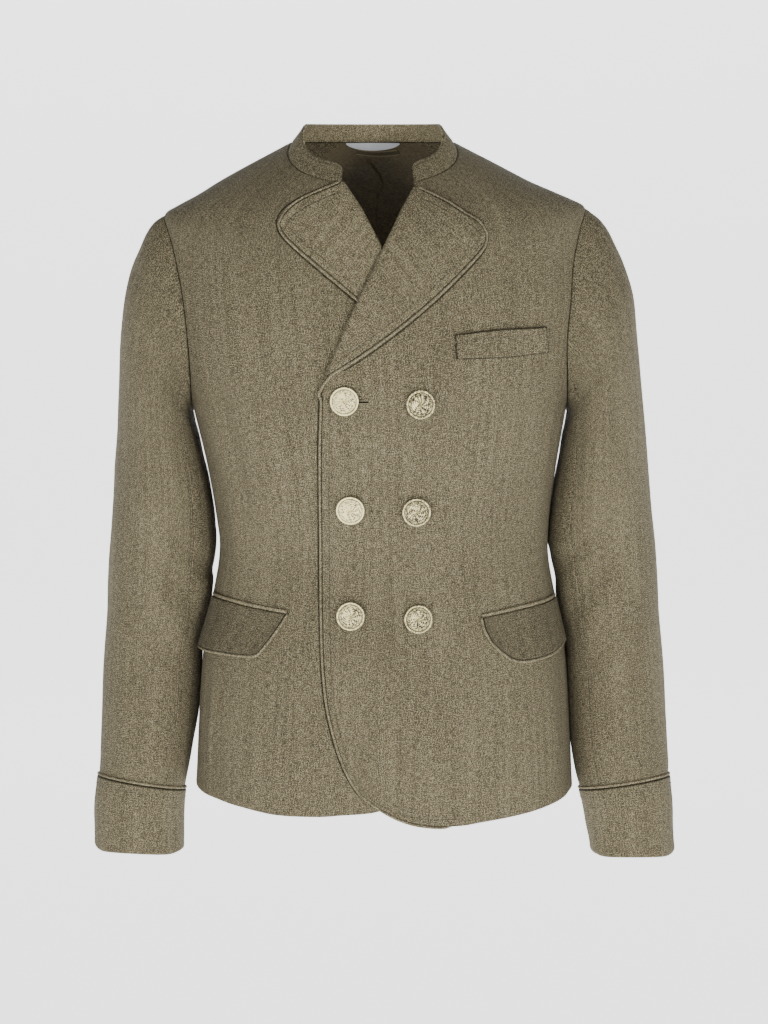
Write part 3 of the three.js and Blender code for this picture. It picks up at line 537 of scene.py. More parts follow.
# %% Satin, label and band
def lining_satin(name, colour_hex):
    material, tree, shader = new_material(name, Sheen_Weight=0.1, Specular_IOR_Level=0.4)
    u, v = grain(tree)
    fine = noise(tree, u * 0.3, v * 1.2, 2, 0.5)
    cross = noise(tree, u * 1.2, v * 0.3, 2, 0.5, 9.0)
    soft = noise(tree, u * 0.03, v * 0.02, 2, 0.5, 5.0)
    tone = (fine - 0.5) * 1.6 + (cross - 0.5) * 1.6 + (soft - 0.5) * 0.6 + 0.5
    base = linear(colour_hex)
    dim, bright = [c * 0.35 for c in base], [c * 1.7 for c in base]
    colour = blend_colours(tree, tone, dim, bright)
    set_looks(tree, shader, colour, 0.5 + (fine - 0.5) * 0.2, fine + soft * 3, 0.0004)
    return material


def label_cloth():
    material, tree, shader = new_material("label_cloth", Specular_IOR_Level=0.4)
    u, v = grain(tree)
    ribs = (v * (2 * math.pi / 0.5)).sine() * 0.5 + 0.5
    patch = noise(tree, u * 0.1, v * 0.1, 2, 0.5)
    colour = blend_colours(tree, patch, linear(0xE4E7F0), linear(0xFAFBFF))
    set_looks(tree, shader, colour, 0.5, ribs, 0.0001)
    return material


def loop_band():
    """A dark band with pale edges: v runs across it, from -1 to 1."""
    material, tree, shader = new_material("loop_band", Specular_IOR_Level=0.35)
    u, v = grain(tree)
    edge = (v / MM).size().step(0.62, 0.72)
    twill = (u * 6 + v * 0.004).sine() * 0.5 + 0.5
    dark = blend_colours(tree, twill, linear(0x2A261B), linear(0x6A6147))
    colour = blend_colours(tree, edge * twill, dark, linear(0xA89C7A))
    set_looks(tree, shader, colour, 0.6, twill, 0.0002)
    return material

# %% [markdown]
# ## Metal and thread
#
# The buttons are pale old metal: dark where the relief is low and rubbed bright where it stands
# out. A plain metal would look new. So the height stored on each button mixes two colours, and
# noise breaks them up. The thread is a twisted one, a little darker than the linen.

# %% Old gold and sewing thread
def old_metal():
    """Pale old gold: darker where the relief is low, rubbed bright where it stands out."""
    material, tree, shader = new_material("old_gold", Metallic=0.2, Specular_IOR_Level=0.5)
    relief = attribute(tree, "relief")
    place = make(tree, "ShaderNodeTexCoord", {}, output=3)
    settings = {"noise_dimensions": "3D"}
    grime = make(tree, "ShaderNodeTexNoise", settings, place, None, 520.0, 4.0, 0.7)
    fine = make(tree, "ShaderNodeTexNoise", settings, place, None, 950.0, 2.0, 0.6)
    wear_and_painted_shade = (relief * 0.85 + (grime - 0.5) * 2.2 + (fine - 0.5) * 2.4).step(-0.05, 1.1)
    colour = blend_colours(tree, wear_and_painted_shade, linear(0x241C0B), linear(0xFFF0B0))
    rough = 0.60 - wear_and_painted_shade * 0.22
    set_looks(tree, shader, colour, rough, grime + fine * 0.6, 0.0005, 0.7)
    return material


def sewing_thread():
    material, tree, shader = new_material("thread", Sheen_Weight=0.2)
    place = make(tree, "ShaderNodeTexCoord", {}, output=3)
    twist = make(tree, "ShaderNodeTexNoise", {"noise_dimensions": "3D"}, place, None, 1500.0)
    colour = blend_colours(tree, twist, linear(0x5A5240), linear(0x7D7357))
    set_looks(tree, shader, colour, 0.7, twist, 0.0002)
    return material

# %% [markdown]
# ## The cloths of this jacket
#
# One cloth is cut in many directions and catches the light in each its own way. That light and
# shade is painted into each piece's colour: the lapels are painted paler, the flaps darker, and the
# piping, cut on the bias, palest of all. Each gets its own shade and its own stretch of the weave,
# so that no two pieces show the same specks.

# %% Make the materials
jacket_linen = linen("jacket_linen")
# The lapels are the jacket's linen painted paler, as painted light, the right one most
lapel_linen_left_lit = linen("lapel_linen_left_lit", shade=1.06, seed=3.0)
lapel_linen_right_lit = linen("lapel_linen_right_lit", shade=1.18, seed=5.0)
# The flaps are the jacket's linen painted darker, as painted shade
flap_linen_shaded = linen("flap_linen_shaded", shade=0.70, seed=8.0)
collar_linen = linen("collar_linen", seed=11.0)
# The inside of the collar is the same linen painted much paler, as painted light
collar_inside_lit = linen("collar_inside_lit", shade=2.3, seed=12.0)
# The piping is the jacket's linen painted paler, as a painted highlight on the round cord
piping_linen_lit = linen("piping_linen_lit", shade=1.5, tilt=math.radians(45), seed=9.0, lines=False)
# Seam allowances are the linen painted dark, as painted shade in the seams
seam_linen_shaded = linen("seam_linen_shaded", shade=0.42, lines=False)
# The buttonhole slit is the linen painted nearly black, as painted shadow in the opening
slit_shadow_linen = linen("slit_shadow_linen", shade=0.06, lines=False)
satin = lining_satin("lining_satin", 0x5A4F36)
sleeve_satin = lining_satin("sleeve_satin", 0x453F30)
label_white = label_cloth()
band = loop_band()
metal = old_metal()
thread = sewing_thread()
print(len(bpy.data.materials), "materials")

# %% [markdown]
# ## Turned edges
#
# The edge of a piece of cloth is turned in and pressed, so it is round and not sharp, and beside
# the seam it swells a little. A bevel would round both faces alike. Here the outer face drops over
# the last part of a millimetre, by the distance of each point from its nearest edge.

# %% Distances and rolled edges
made = {}


def edge_distances(points):
    """How far each point is from the left, right, bottom and top edge of its piece."""
    across = np.linalg.norm(np.diff(points, axis=1), axis=2)
    along = np.linalg.norm(np.diff(points, axis=0), axis=2)
    left = np.pad(np.cumsum(across, 1), ((0, 0), (1, 0)))
    bottom = np.pad(np.cumsum(along, 0), ((1, 0), (0, 0)))
    return left, left[:, -1:] - left, bottom, bottom[-1:] - bottom


# The swelling beside a seam: height, distance from the edge, half width
SWELL = (0.25, 3.6, 2.2)


def rolled(away, radius):
    """How far the face drops towards an edge, and the swelling beside it."""
    inside = np.clip(radius - away, 0, radius)
    drop = radius - np.sqrt(radius**2 - inside**2)
    height, middle, half = SWELL
    return drop - height * np.exp(-(((away - middle) / half) ** 2))


print("an edge of 1 mm drops", rolled(np.array([0.0, 0.5, 1.0]), 1.0).round(2).tolist(), "mm")

# %% [markdown]
# ## From grids to cloth
#
# A piece of cloth is a closed wall between an outer and an inner grid of points, with a rim of
# faces round it. Solidify could thicken one grid, but the inside wouldn't know which part is lining
# and which is the facing of the jacket's own cloth. Two grids were chosen, and a number for each
# inner face. Stitch and crease are distances stored on the outer points.

# %% Close a wall
def put(name, outer, inner, uv, materials, slot, nodes, closed=False, values=None, inner_kind=None):
    """Makes one closed wall. inner_kind gives the material number of each inner face."""
    height, width = outer.shape[:2]
    points = np.concatenate([outer.reshape(-1, 3), inner.reshape(-1, 3)]) / MM
    count = height * width
    number = np.arange(count).reshape(height, width)
    if closed:
        number = np.concatenate([number, number[:, :1]], 1)
        uv = np.concatenate([uv, uv[:, :1] + [uv_round(uv), 0]], 1)
    a, b, c, d = number[:-1, :-1], number[:-1, 1:], number[1:, 1:], number[1:, :-1]
    ua, ub, uc, ud = uv[:-1, :-1], uv[:-1, 1:], uv[1:, 1:], uv[1:, :-1]
    quads = [np.stack([a, b, c, d], -1).reshape(-1, 4)]
    quads.append(np.stack([a, d, c, b], -1).reshape(-1, 4) + count)
    uvs = [np.stack([ua, ub, uc, ud], -2).reshape(-1, 4, 2)]
    uvs.append(np.stack([ua, ud, uc, ub], -2).reshape(-1, 4, 2))
    kinds = [np.zeros(len(quads[0]), int)]
    kinds.append(np.zeros(len(quads[1]), int) if inner_kind is None else inner_kind.reshape(-1))

    def rim(first, second, at_first, at_second):
        quads.append(np.stack([second, first, first + count, second + count], -1))
        uvs.append(np.stack([at_second, at_first, at_first, at_second], -2))
        kinds.append(np.zeros(len(first), int))

    rim(number[0, :-1], number[0, 1:], uv[0, :-1], uv[0, 1:])
    rim(number[-1, 1:], number[-1, :-1], uv[-1, 1:], uv[-1, :-1])
    if not closed:
        rim(number[1:, 0], number[:-1, 0], uv[1:, 0], uv[:-1, 0])
        rim(number[:-1, -1], number[1:, -1], uv[:-1, -1], uv[1:, -1])
    quads, uvs, kinds = np.concatenate(quads), np.concatenate(uvs), np.concatenate(kinds)
    if signed_volume(points[quads]) < 0:
        quads, uvs = quads[:, ::-1], uvs[:, ::-1]
    mesh = bpy.data.meshes.new(name)
    mesh.from_pydata(points.tolist(), [], quads.tolist())
    layer = mesh.uv_layers.new(name="grain")
    layer.data.foreach_set("uv", (uvs / MM).astype(np.float32).ravel())
    mesh.polygons.foreach_set("material_index", kinds.astype(np.int32))
    for key in ("stitch", "crease"):
        field = np.full((height, width), NONE)
        if values and key in values:
            field = values[key]
        both = np.concatenate([field.ravel(), np.full(count, NONE)]).astype(np.float32)
        mesh.attributes.new(key, "FLOAT", "POINT").data.foreach_set("value", both)
    return finish_piece(name, mesh, materials, nodes)


def signed_volume(p):
    """Six times the volume inside quads, below zero where they face inwards."""
    first = (p[:, 0] * np.cross(p[:, 1], p[:, 2])).sum()
    return first + (p[:, 0] * np.cross(p[:, 2], p[:, 3])).sum()


def uv_round(uv):
    """The grain's length once round a closed ring."""
    return (uv[0, 1, 0] - uv[0, 0, 0]) * uv.shape[1]


def finish_piece(name, mesh, materials, nodes):
    for material in materials:
        mesh.materials.append(material)
    mesh.polygons.foreach_set("use_smooth", np.ones(len(mesh.polygons), bool))
    mesh.set_sharp_from_angle(angle=math.radians(50))
    mesh.update()
    piece = bpy.data.objects.new(name, mesh)
    bpy.context.scene.collection.objects.link(piece)
    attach(piece, "root")
    if nodes:
        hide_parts(*nodes)
    made[name] = piece
    print(name, len(mesh.vertices), "points,", len(mesh.polygons), "faces")
    return piece

# %% [markdown]
# ## Panels on the body
#
# Most pieces lie on the body, one on another. Each is told by its grid of angles and heights and by
# how far out its two faces lie. The grain runs up the piece, as the warp of a real one does, and
# across by the angle, so that the weave meets evenly at the seams.

# %% Lay a panel on the body
GRAIN_RADIUS = 175


def grain_of(points, u=None):
    """UV in millimetres: v along the middle column, u across unless it is given."""
    left, _, bottom, _ = edge_distances(points)
    middle = bottom[:, points.shape[1] // 2]
    v = np.repeat(middle[:, None], points.shape[1], 1)
    return np.stack([left if u is None else u, v], -1)


def body_panel(name, grid, outer, inner, materials, slot, nodes, roll=0.7, **more):
    """A wall on the body. grid holds angles and heights, outer and inner how far out."""
    angle, z = grid[..., 0], grid[..., 1]
    flat = body_at(angle, z, outer)
    drop = rolled(np.minimum.reduce(edge_distances(flat)), roll)
    points = body_at(angle, z, outer - drop)
    under = body_at(angle, z, inner + np.maximum(drop, 0))
    uv = more.pop("uv", None)
    if uv is None:
        uv = grain_of(flat, np.radians(angle) * GRAIN_RADIUS)
    return put(name, points, under, uv, materials, slot, nodes, **more)

# %% [markdown]
# ## Side seams and armholes
#
# Front and back share the side seam, the armhole and the shoulder seam. If each panel had its own
# copy of that edge, gaps would open. One function gives it for both, and only the side that it
# looks from differs.

# %% The edge that front and back share
ARMHOLE = {"middle": -167.5, "half": 97.5, "front": 52, "back": 58, "skew": 0.18}
ARMHOLE_GAP = 0.5
LOWER_ROWS = [-622, -582, -542, -502, -464, -430, -398, -366, -332, -298]
SHOULDER_ROWS = [-66, -60, -51, -36, -18, 0]


def armhole_height(turn, gap=0.0):
    return ARMHOLE["middle"] + (ARMHOLE["half"] - gap) * np.cos(np.radians(turn))


def armhole_depth(turn, gap=0.0):
    turn = np.asarray(turn, float)
    wide = np.abs(np.sin(np.radians(turn))) * (1 - ARMHOLE["skew"] * np.cos(np.radians(turn)))
    front = turn % 360 <= 180
    return np.where(front, -(ARMHOLE["front"] - gap) * wide, (ARMHOLE["back"] - gap) * wide)


def side_edge(side, facing, hem):
    """Side seam, armhole and shoulder seam, as angle and height for each row."""
    low = refined([hem, *LOWER_ROWS, armhole_height(180)], 4)
    low = np.concatenate([hem + EDGE_STEPS[:-1], low[low > hem + 5]])[:-1]
    turns = refined(np.linspace(180, 0, 11), 4)
    turns = turns if facing < 0 else 360 - turns
    high = refined([armhole_height(0), *SHOULDER_ROWS], 3)[1:]
    high = np.concatenate([high[high < -5], -EDGE_STEPS[:-1][::-1]])
    z = np.concatenate([low, armhole_height(turns), high])
    y = np.concatenate([low * 0, np.abs(armhole_depth(turns)), high * 0])
    depth = facing * np.maximum(y, HALF_SEAM)
    return np.stack([angle_at_depth(side, depth, z), z], -1)


print("armhole from", armhole_height(180), "to", armhole_height(0), "mm")

# %% [markdown]
# ## Patterns of the fronts and backs
#
# The body of a jacket is cut from flat panels that meet at the side seams and the centre back. They
# could be one tube with lines painted on it. Four separate walls were chosen, each between its own
# named edges, because then every seam has two rolled edges and a real gap.

# %% Fronts, backs and their edges
FRONTS = {
    "left": {
        "side": 1, "hem_side": -656, "corner": -634.6, "break": -238, "notch": 15.2,
        "edge": [(-634.6, -22), (-622, -31), (-602, -40.5), (-578, -48.2), (-540, -56),
                 (-492, -59.3), (-404, -60.7), (-300, -60.7), (-238, -59)],
        "roll": [(-238, -61.5), (-200, -47), (-153, -26), (-99, 0), (-70, 14.5), (-35, 32)],
        "hem": [(-22, -634.6), (-12, -642), (-2, -649), (17, -659), (36, -664.5), (55, -666.6),
                (75, -666.8), (95, -665), (135, -662.3), (195, -656)],
    },
    "right": {
        "side": -1, "hem_side": -652, "corner": -634, "break": -205, "notch": -11.6,
        "edge": [(-634, 24), (-618, 38), (-600, 48), (-560, 57), (-500, 61), (-205, 62)],
        "roll": [(-205, 60), (-150, 29), (-100, -1), (-80, -11.6), (-63, -21.2), (-48, -31),
                 (-30, -44)],
        "hem": [(-195, -652), (-143, -655.6), (-103, -659), (-63, -658), (-43, -656), (-12, -653),
                (7, -646), (24, -634)],
    },
}
BACK_HEM = -650
NOTCH_SET = 1.9
ROLL_RIM = {"start": 0.8, "growth": 0.09, "full": 4.5}
RIM_SLANT = 1.25
RIM_CLEAR = 1.6


def rim_width(front, z):
    width = ROLL_RIM["start"] + (z - front["break"]) * ROLL_RIM["growth"]
    return np.clip(width, 0, ROLL_RIM["full"])


def front_grid(front):
    side = front["side"]
    right = side_edge(side, -1, front["hem_side"])
    edge_at, roll_at, hem_at = (through_pairs(front[key]) for key in ("edge", "roll", "hem"))
    notch = front["notch"] + side * NOTCH_SET
    heights = through(
        [front["hem_side"], -302, -230, armhole_height(0), 0],
        [front["corner"], -300, front["break"] + 12, -95, neck_height(notch)],
    )
    height = heights(right[:, 1])
    rolling = roll_at(height) + side * (rim_width(front, height) * RIM_SLANT + RIM_CLEAR)
    x = np.where(height > front["break"], rolling, edge_at(height))
    left = np.stack([angle_at(x, height), height], -1)

    def bottom(u):
        angle = mix(left[0, 0], right[0, 0], u)
        return np.stack([angle, hem_at(body_skin(angle, front["hem_side"])[..., 0])], -1)

    def top(u):
        angle = mix(left[-1, 0], right[-1, 0], u)
        return np.stack([angle, neck_height(angle)], -1)

    width = np.linalg.norm(body_skin(*left.T) - body_skin(*right.T), axis=1) * 1.1
    return pattern(left, right, bottom, top, columns(width, 64))


def back_grid(side, hem_side):
    right = side_edge(side, 1, hem_side)
    height = mix(BACK_HEM, 0, (right[:, 1] - hem_side) / -hem_side)
    gap = np.degrees(HALF_SEAM / body["width"](height))
    left = np.stack([side * (180 - gap), height], -1)
    bottom = lambda u: np.stack([mix(left[0, 0], right[0, 0], u), mix(BACK_HEM, hem_side, u)], -1)
    top = lambda u: np.stack([mix(left[-1, 0], right[-1, 0], u), u * 0], -1)
    width = np.linalg.norm(body_skin(*left.T) - body_skin(*right.T), axis=1) * 1.1
    return pattern(left, right, bottom, top, columns(width, 56))

# %% [markdown]
# ## Darts, facing and stitch rows of the fronts
#
# A front is shaped by a dart, stitched along its piped edge, and turned in with a facing. These are
# lines on the cloth. Cutting them into the mesh would need thousands of faces, so each point carries
# its distance to the nearest one, and the linen sinks and is painted darker, as painted shade, where
# that is small. On the front underneath, a painted shadow line lies just outside the edge that covers
# it, where no light gets in.

# %% Distances to darts and edges
# Darts of the fronts as x by z, and where the facing of the upper front ends at the hem
DARTS = {
    "left": [(-446, 110), (-347, 115), (-248, 122)],
    "right": [(-446, -112), (-337, -117.5), (-228, -123)],
}
FACING_END = {"x": 77, "to": -656, "near": 4}
FACING = {"front": 78, "hem": 34, "neck": 42}
EDGE_STITCH = 9.0
DART_FADE = 0.9
DART_FAINT = 0.5
# Where the painted shade beside a cord lies: inside the edge, and outside it on the cloth below
PIPED_EDGE = -0.5
EDGE_SHADOW = 3.2


def facing_kinds(away_front, away_hem, away_neck):
    """0 where the inner face shows the jacket's cloth, 1 where it shows lining."""
    own = (away_front < FACING["front"]) | (away_hem < FACING["hem"]) | (away_neck < FACING["neck"])
    return np.where(own, 0, 1)[:-1, :-1]


def front_creases(key, x, z, turned_edge):
    """How far each point is from the dart and from the piped edge, or the edge over it, where the linen
    gets painted shade.
    """
    front = FRONTS[key]
    dart_at = through_pairs(DARTS[key])
    low, high = DARTS[key][0][0], DARTS[key][-1][0]
    fade = np.abs((z - (low + high) / 2) / ((high - low) / 2))
    dart = np.abs(x - dart_at(z)) + DART_FADE * fade**2 + DART_FAINT
    crease = np.where(fade < 1.1, dart, NONE)
    if front["side"] > 0:
        piped = np.where(z < front["break"], turned_edge, NONE)
        from_end = np.abs(x - FACING_END["x"])
        ends = (z < FACING_END["to"]) & (from_end < FACING_END["near"])
        return np.where(ends, from_end + DART_FAINT, np.minimum(crease, piped + PIPED_EDGE))
    # Painted shadow: a dark line just outside the left front's edge, on the right front below it
    over = FRONTS["left"]
    beside = through_pairs(over["edge"])(z) - EDGE_SHADOW - x
    covered = (z < over["break"]) & (z > over["corner"]) & (np.abs(beside) < crease)
    return np.where(covered, beside, crease)

# %% [markdown]
# ## Fronts and backs
#
# Now the four panels are laid on the body, the wearer's left front over the right. The inner face
# of a front shows the facing along the edge, the neck and the hem, and the lining behind it.

# %% Place the four panels
grids = {}


def front_panel(key, front):
    side = front["side"]
    grid = front_grid(front)
    angle, z = grid[..., 0], grid[..., 1]
    out = front_out(side, angle, z)
    flat = body_at(angle, z, out)
    left, _, bottom, top = edge_distances(flat)
    x = flat[..., 0]
    facing_hem = bottom if side > 0 else NONE + bottom * 0
    turned_edge = np.minimum(left, np.where(side * x < FACING_END["x"], facing_hem, NONE))
    stitch = np.where(z < front["break"] - 8, turned_edge - EDGE_STITCH, NONE)
    body_panel(
        f"front_{key}_cloth", grid, out, out - CLOTH, [jacket_linen, satin], "jacket_cloth",
        [f"front_{key}"], inner_kind=facing_kinds(left, bottom, top),
        values={"stitch": stitch, "crease": front_creases(key, x, z, turned_edge)},
    )
    grids[key] = grid


def back_panel(key, front):
    grid = back_grid(front["side"], front["hem_side"])
    left, _, bottom, _ = edge_distances(body_at(grid[..., 0], grid[..., 1]))
    far, zero = np.full(left.shape, NONE), np.zeros(left.shape)
    body_panel(
        f"back_{key}_cloth", grid, zero, zero - CLOTH, [jacket_linen, satin], "jacket_cloth",
        [f"back_{key}"], inner_kind=facing_kinds(far, bottom, far),
    )


for key, front in FRONTS.items():
    front_panel(key, front)
    back_panel(key, front)

# %% [markdown]
# ## The lapel's pattern
#
# A lapel is the front's own upper part, folded back over the roll line. It has a slanting upper
# edge, a round tip and a long lower edge. Bending a flat mesh would pull the tip out of place, so
# the grid is drawn where the lapel lies, from its own outline to the roll line.

# %% Grid of a lapel
LAPELS = {
    "left": {
        "upper": [(28, -43.5), (60, -58.5), (84, -73), (93, -80), (97.6, -90)],
        "lower": [(97.6, -90), (95, -101), (84, -114), (52, -145.5), (14, -177), (-23, -203.5),
                  (-50, -220)],
        "roll_end": -222,
    },
    "right": {
        "upper": [(-38.5, -38.5), (-62, -48), (-82, -57), (-97, -67.5), (-101.5, -78)],
        "lower": [(-101.5, -78), (-97, -88), (-80, -104.5), (-42, -135.5), (-23, -151), (20, -187),
                  (52, -202)],
        "roll_end": -199,
    },
}


def lapel_grid(front, lapel):
    roll_at = through_pairs(front["roll"])
    upper, lower = curve(lapel["upper"]), curve(lapel["lower"])
    middle = np.linspace(0.02, 0.98, 60)
    shares = np.concatenate([[0, 0.002, 0.006, 0.012], middle, [0.988, 0.994, 0.998, 1]])
    z = mix(lapel["roll_end"], lapel["upper"][0][1], shares)
    left = np.stack([roll_at(z), z], -1)
    right = lower(1 - shares)
    bottom = lambda u: mix(left[0], right[0], u[..., None])
    width = np.linalg.norm(right - left, axis=1)
    rim = np.minimum(rim_width(front, right[:, 1]) / width, 0.5)[:, None]
    inner = np.array([0, 0.08, 0.2, 0.35, 0.55, 0.78, 1]) * rim
    ends = np.minimum(EDGE_STEPS[::-1] / width[:, None], 0.3)
    middle = np.linspace(0, 1, 36)[1:-1]
    u = np.concatenate([inner, mix(rim, 1 - ends[:, :1], middle), 1 - ends], 1)
    return pattern(left, right, bottom, upper, u), rim * width[:, None]


def to_angles(grid):
    return np.stack([angle_at(grid[..., 0], grid[..., 1]), grid[..., 1]], -1)


print("rows and columns of a lapel:", lapel_grid(FRONTS["left"], LAPELS["left"])[0].shape[:2])

# %% [markdown]
# ## Lines on the cloth
#
# Cords and stitch rows run beside an edge, at a fixed distance. A line drawn by hand would drift
# from it. These helpers take the edge itself, move it sideways, space its points evenly and lay it
# on the body.

# %% Move, space and place a line
def moved(line, reach):
    """A line in front view, moved to its right-hand side by reach."""
    step = np.gradient(line, axis=0)
    step = step / np.linalg.norm(step, axis=1, keepdims=True)
    return line + np.stack([step[:, 1], -step[:, 0]], -1) * reach


def even(line, spacing):
    """The same line with its points evenly apart."""
    length = np.concatenate([[0], np.cumsum(np.linalg.norm(np.diff(line, axis=0), axis=1))])
    at = np.linspace(0, length[-1], max(int(length[-1] / spacing), 2) + 1)
    return np.stack([np.interp(at, length, line[:, k]) for k in range(line.shape[1])], -1)


def on_body(side, line, out):
    angle = angle_at(line[:, 0], line[:, 1])
    return body_at(angle, line[:, 1], front_out(side, angle, line[:, 1]) + out)


print("an even line:", even(np.array([[0.0, 0.0], [10.0, 0.0]]), LINE_STEP)[:, 0].tolist())

# %% [markdown]
# ## A group of nodes that makes cords
#
# Piping is the same thing all round the jacket: a round cord along a line. Geometry Nodes make it
# from the line alone, with its thickness, sides and cloth as named inputs. It also stores how far
# along and how far round each corner lies, and that is the cord's grain.

# %% The cord group
def new_group(name, inputs):
    """A node group with one geometry in, one out, and named inputs."""
    group = bpy.data.node_groups.new(name, "GeometryNodeTree")
    face = group.interface
    face.new_socket("Lines", in_out="INPUT", socket_type="NodeSocketGeometry")
    for label, kind, value in inputs:
        socket = face.new_socket(label, in_out="INPUT", socket_type=f"NodeSocket{kind}")
        if value is not None:
            socket.default_value = value
    face.new_socket("Pieces", in_out="OUTPUT", socket_type="NodeSocketGeometry")
    return group


def stored(group, geometry, name, value, kind="FLOAT", domain="POINT"):
    """Keeps a value on the geometry under a name."""
    return add_node(
        group, "GeometryNodeStoreNamedAttribute", {"data_type": kind, "domain": domain},
        Geometry=geometry.outputs[0], Name=name, Value=value,
    )


def finished(group, geometry, material):
    """Ends a group: real pieces, with their material."""
    real = add_node(group, "GeometryNodeRealizeInstances", Geometry=geometry.outputs[0])
    paint = add_node(
        group, "GeometryNodeSetMaterial", Geometry=real.outputs[0], Material=material
    )
    add_node(group, "NodeGroupOutput", None, paint.outputs[0])
    return group


def cord_group():
    """A round cord along each line, with its grain stored for the cloth."""
    group = new_group("Cord", [
        ("Radius", "Float", 0.0013), ("Sides", "Int", 12), ("Material", "Material", None),
    ])
    given = add_node(group, "NodeGroupInput").outputs
    path = add_node(group, "GeometryNodeMeshToCurve", Mesh=given["Lines"])
    spline = add_node(group, "GeometryNodeSplineParameter")
    path = stored(group, path, "along", spline.outputs["Length"])
    ring = add_node(
        group, "GeometryNodeCurvePrimitiveCircle", Resolution=given["Sides"],
        Radius=given["Radius"],
    )
    ring = stored(group, ring, "around", spline.outputs["Length"])
    tube = add_node(
        group, "GeometryNodeCurveToMesh", Curve=path.outputs[0], Profile_Curve=ring.outputs[0],
        Fill_Caps=True,
    )
    along, around = (
        add_node(group, "GeometryNodeInputNamedAttribute", {"data_type": "FLOAT"}, Name=name)
        for name in ("along", "around")
    )
    place = add_node(group, "ShaderNodeCombineXYZ", X=around.outputs[0], Y=along.outputs[0])
    tube = stored(group, tube, "grain", place.outputs[0], "FLOAT2", "CORNER")
    return finished(group, tube, given["Material"])

# %% [markdown]
# ## From a line to a cord
#
# The group runs on a mesh that holds nothing but lines. A live modifier would be worked out again
# at each export, so the result is taken at once as a plain mesh, and the lines are deleted.

# %% Grow a cord
def grown(name, group, lines, closed=False, **inputs):
    """Runs a node group over lines of points in millimetres, and gives a plain mesh."""
    points, edges = [], []
    for line in lines:
        first = sum(len(p) for p in points)
        points.append(np.asarray(line) / MM)
        edges += [(first + i, first + i + 1) for i in range(len(line) - 1)]
        if closed:
            edges.append((first + len(line) - 1, first))
    carrier_mesh = bpy.data.meshes.new(name + "_lines")
    carrier_mesh.from_pydata(np.concatenate(points).tolist(), edges, [])
    carrier = bpy.data.objects.new(name + "_lines", carrier_mesh)
    bpy.context.scene.collection.objects.link(carrier)
    modifier = carrier.modifiers.new(group.name, "NODES")
    modifier.node_group = group
    for item in group.interface.items_tree:
        if item.in_out == "INPUT" and item.name in inputs:
            modifier[item.identifier] = inputs[item.name]
    graph = bpy.context.evaluated_depsgraph_get()
    mesh = bpy.data.meshes.new_from_object(carrier.evaluated_get(graph), depsgraph=graph)
    mesh.name = name
    bpy.data.objects.remove(carrier)
    bpy.data.meshes.remove(carrier_mesh)
    return mesh


CORD = cord_group()
CORD_SIDES = 12
print("the cord group has", len(CORD.nodes), "nodes")


def volume_of(mesh):
    mesh.calc_loop_triangles()
    points = np.zeros(len(mesh.vertices) * 3, np.float32)
    mesh.vertices.foreach_get("co", points)
    corners = np.zeros(len(mesh.loop_triangles) * 3, np.int32)
    mesh.loop_triangles.foreach_get("vertices", corners)
    a, b, c = points.reshape(-1, 3)[corners.reshape(-1, 3)].swapaxes(0, 1).astype(float)
    return float((a * np.cross(b, c)).sum() / 6)


def cord(name, lines, nodes, closed=False, radius=PIPE_RADIUS, material=None, slot="piping_cloth"):
    """Round cords along lines of points in millimetres."""
    material = material or piping_linen_lit
    mesh = grown(name, CORD, lines, closed, Radius=radius / MM, Sides=CORD_SIDES, Material=material)
    if volume_of(mesh) < 0:
        mesh.flip_normals()
    mesh.materials.clear()
    return finish_piece(name, mesh, [material], nodes)

# %% [markdown]
# ## Lapels
#
# The rim of a lapel passes through to the inside at the roll line, so that the fold looks round and
# has no open edge there. Its weave is turned, because the cloth is folded over at a slant.

# %% Turn the lapels back
LAPEL_TILT = 38
LAPEL_STITCH = 9.0
# How far the rolled edge of a lapel or a cuff is rounded
PIPED_ROLL = 1.05


def lapel(key, front):
    """Makes a lapel and gives its free edge, in front view."""
    side = front["side"]
    grid, rim = lapel_grid(front, LAPELS[key])
    angles = to_angles(grid)
    angle, z = angles[..., 0], angles[..., 1]
    base = front_out(side, angle, z)
    left, right, _, top = edge_distances(body_at(angle, z, base + LAY))
    share = np.clip(left / np.maximum(rim, 0.1), 0, 1)
    over = mix(-0.3, LAY + CLOTH, np.sqrt(1 - (1 - share) ** 2))
    under = np.where(share < 0.999, mix(0.4, 0, np.clip(share * 2, 0, 1)) - CLOTH, LAY)
    outside = np.minimum(right, np.where(left > rim, top, NONE))
    drop = rolled(outside, PIPED_ROLL)
    tilt = math.radians(-side * LAPEL_TILT)
    x, y = grid[..., 0], grid[..., 1]
    across = x * math.cos(tilt) - y * math.sin(tilt)
    uv = np.stack([across, x * math.sin(tilt) + y * math.cos(tilt)], -1)
    stitch = np.where(left > rim + 6, np.minimum(right, top) - LAPEL_STITCH, NONE)
    put(
        f"lapel_{key}_cloth", body_at(angle, z, base + over - drop),
        body_at(angle, z, base + under + np.maximum(drop, 0) * (share > 0.999)), uv,
        [lapel_linen_left_lit if side > 0 else lapel_linen_right_lit], "jacket_cloth", [f"lapel_{key}"],
        # The crease along the lapel's piped edge is a painted shade line
        values={"stitch": stitch, "crease": np.where(left > rim + 1, outside, NONE) + PIPED_EDGE},
    )
    edge = np.concatenate([grid[-1][share[-1] > 0.999], grid[::-1, -1][1:]])
    return even(edge, LINE_STEP)


lapel_edges = {key: lapel(key, front) for key, front in FRONTS.items()}

# %% [markdown]
# ## Piping of the fronts and lapels
#
# Piping is a narrow strip of bias cloth folded over a cord and caught in the edge seam. A ridge in
# the bump would look flat from the side, so each one is a round cord swept along the edge itself.
# The cord of the left front runs on from its lapel to the hem, where its end is tucked in.

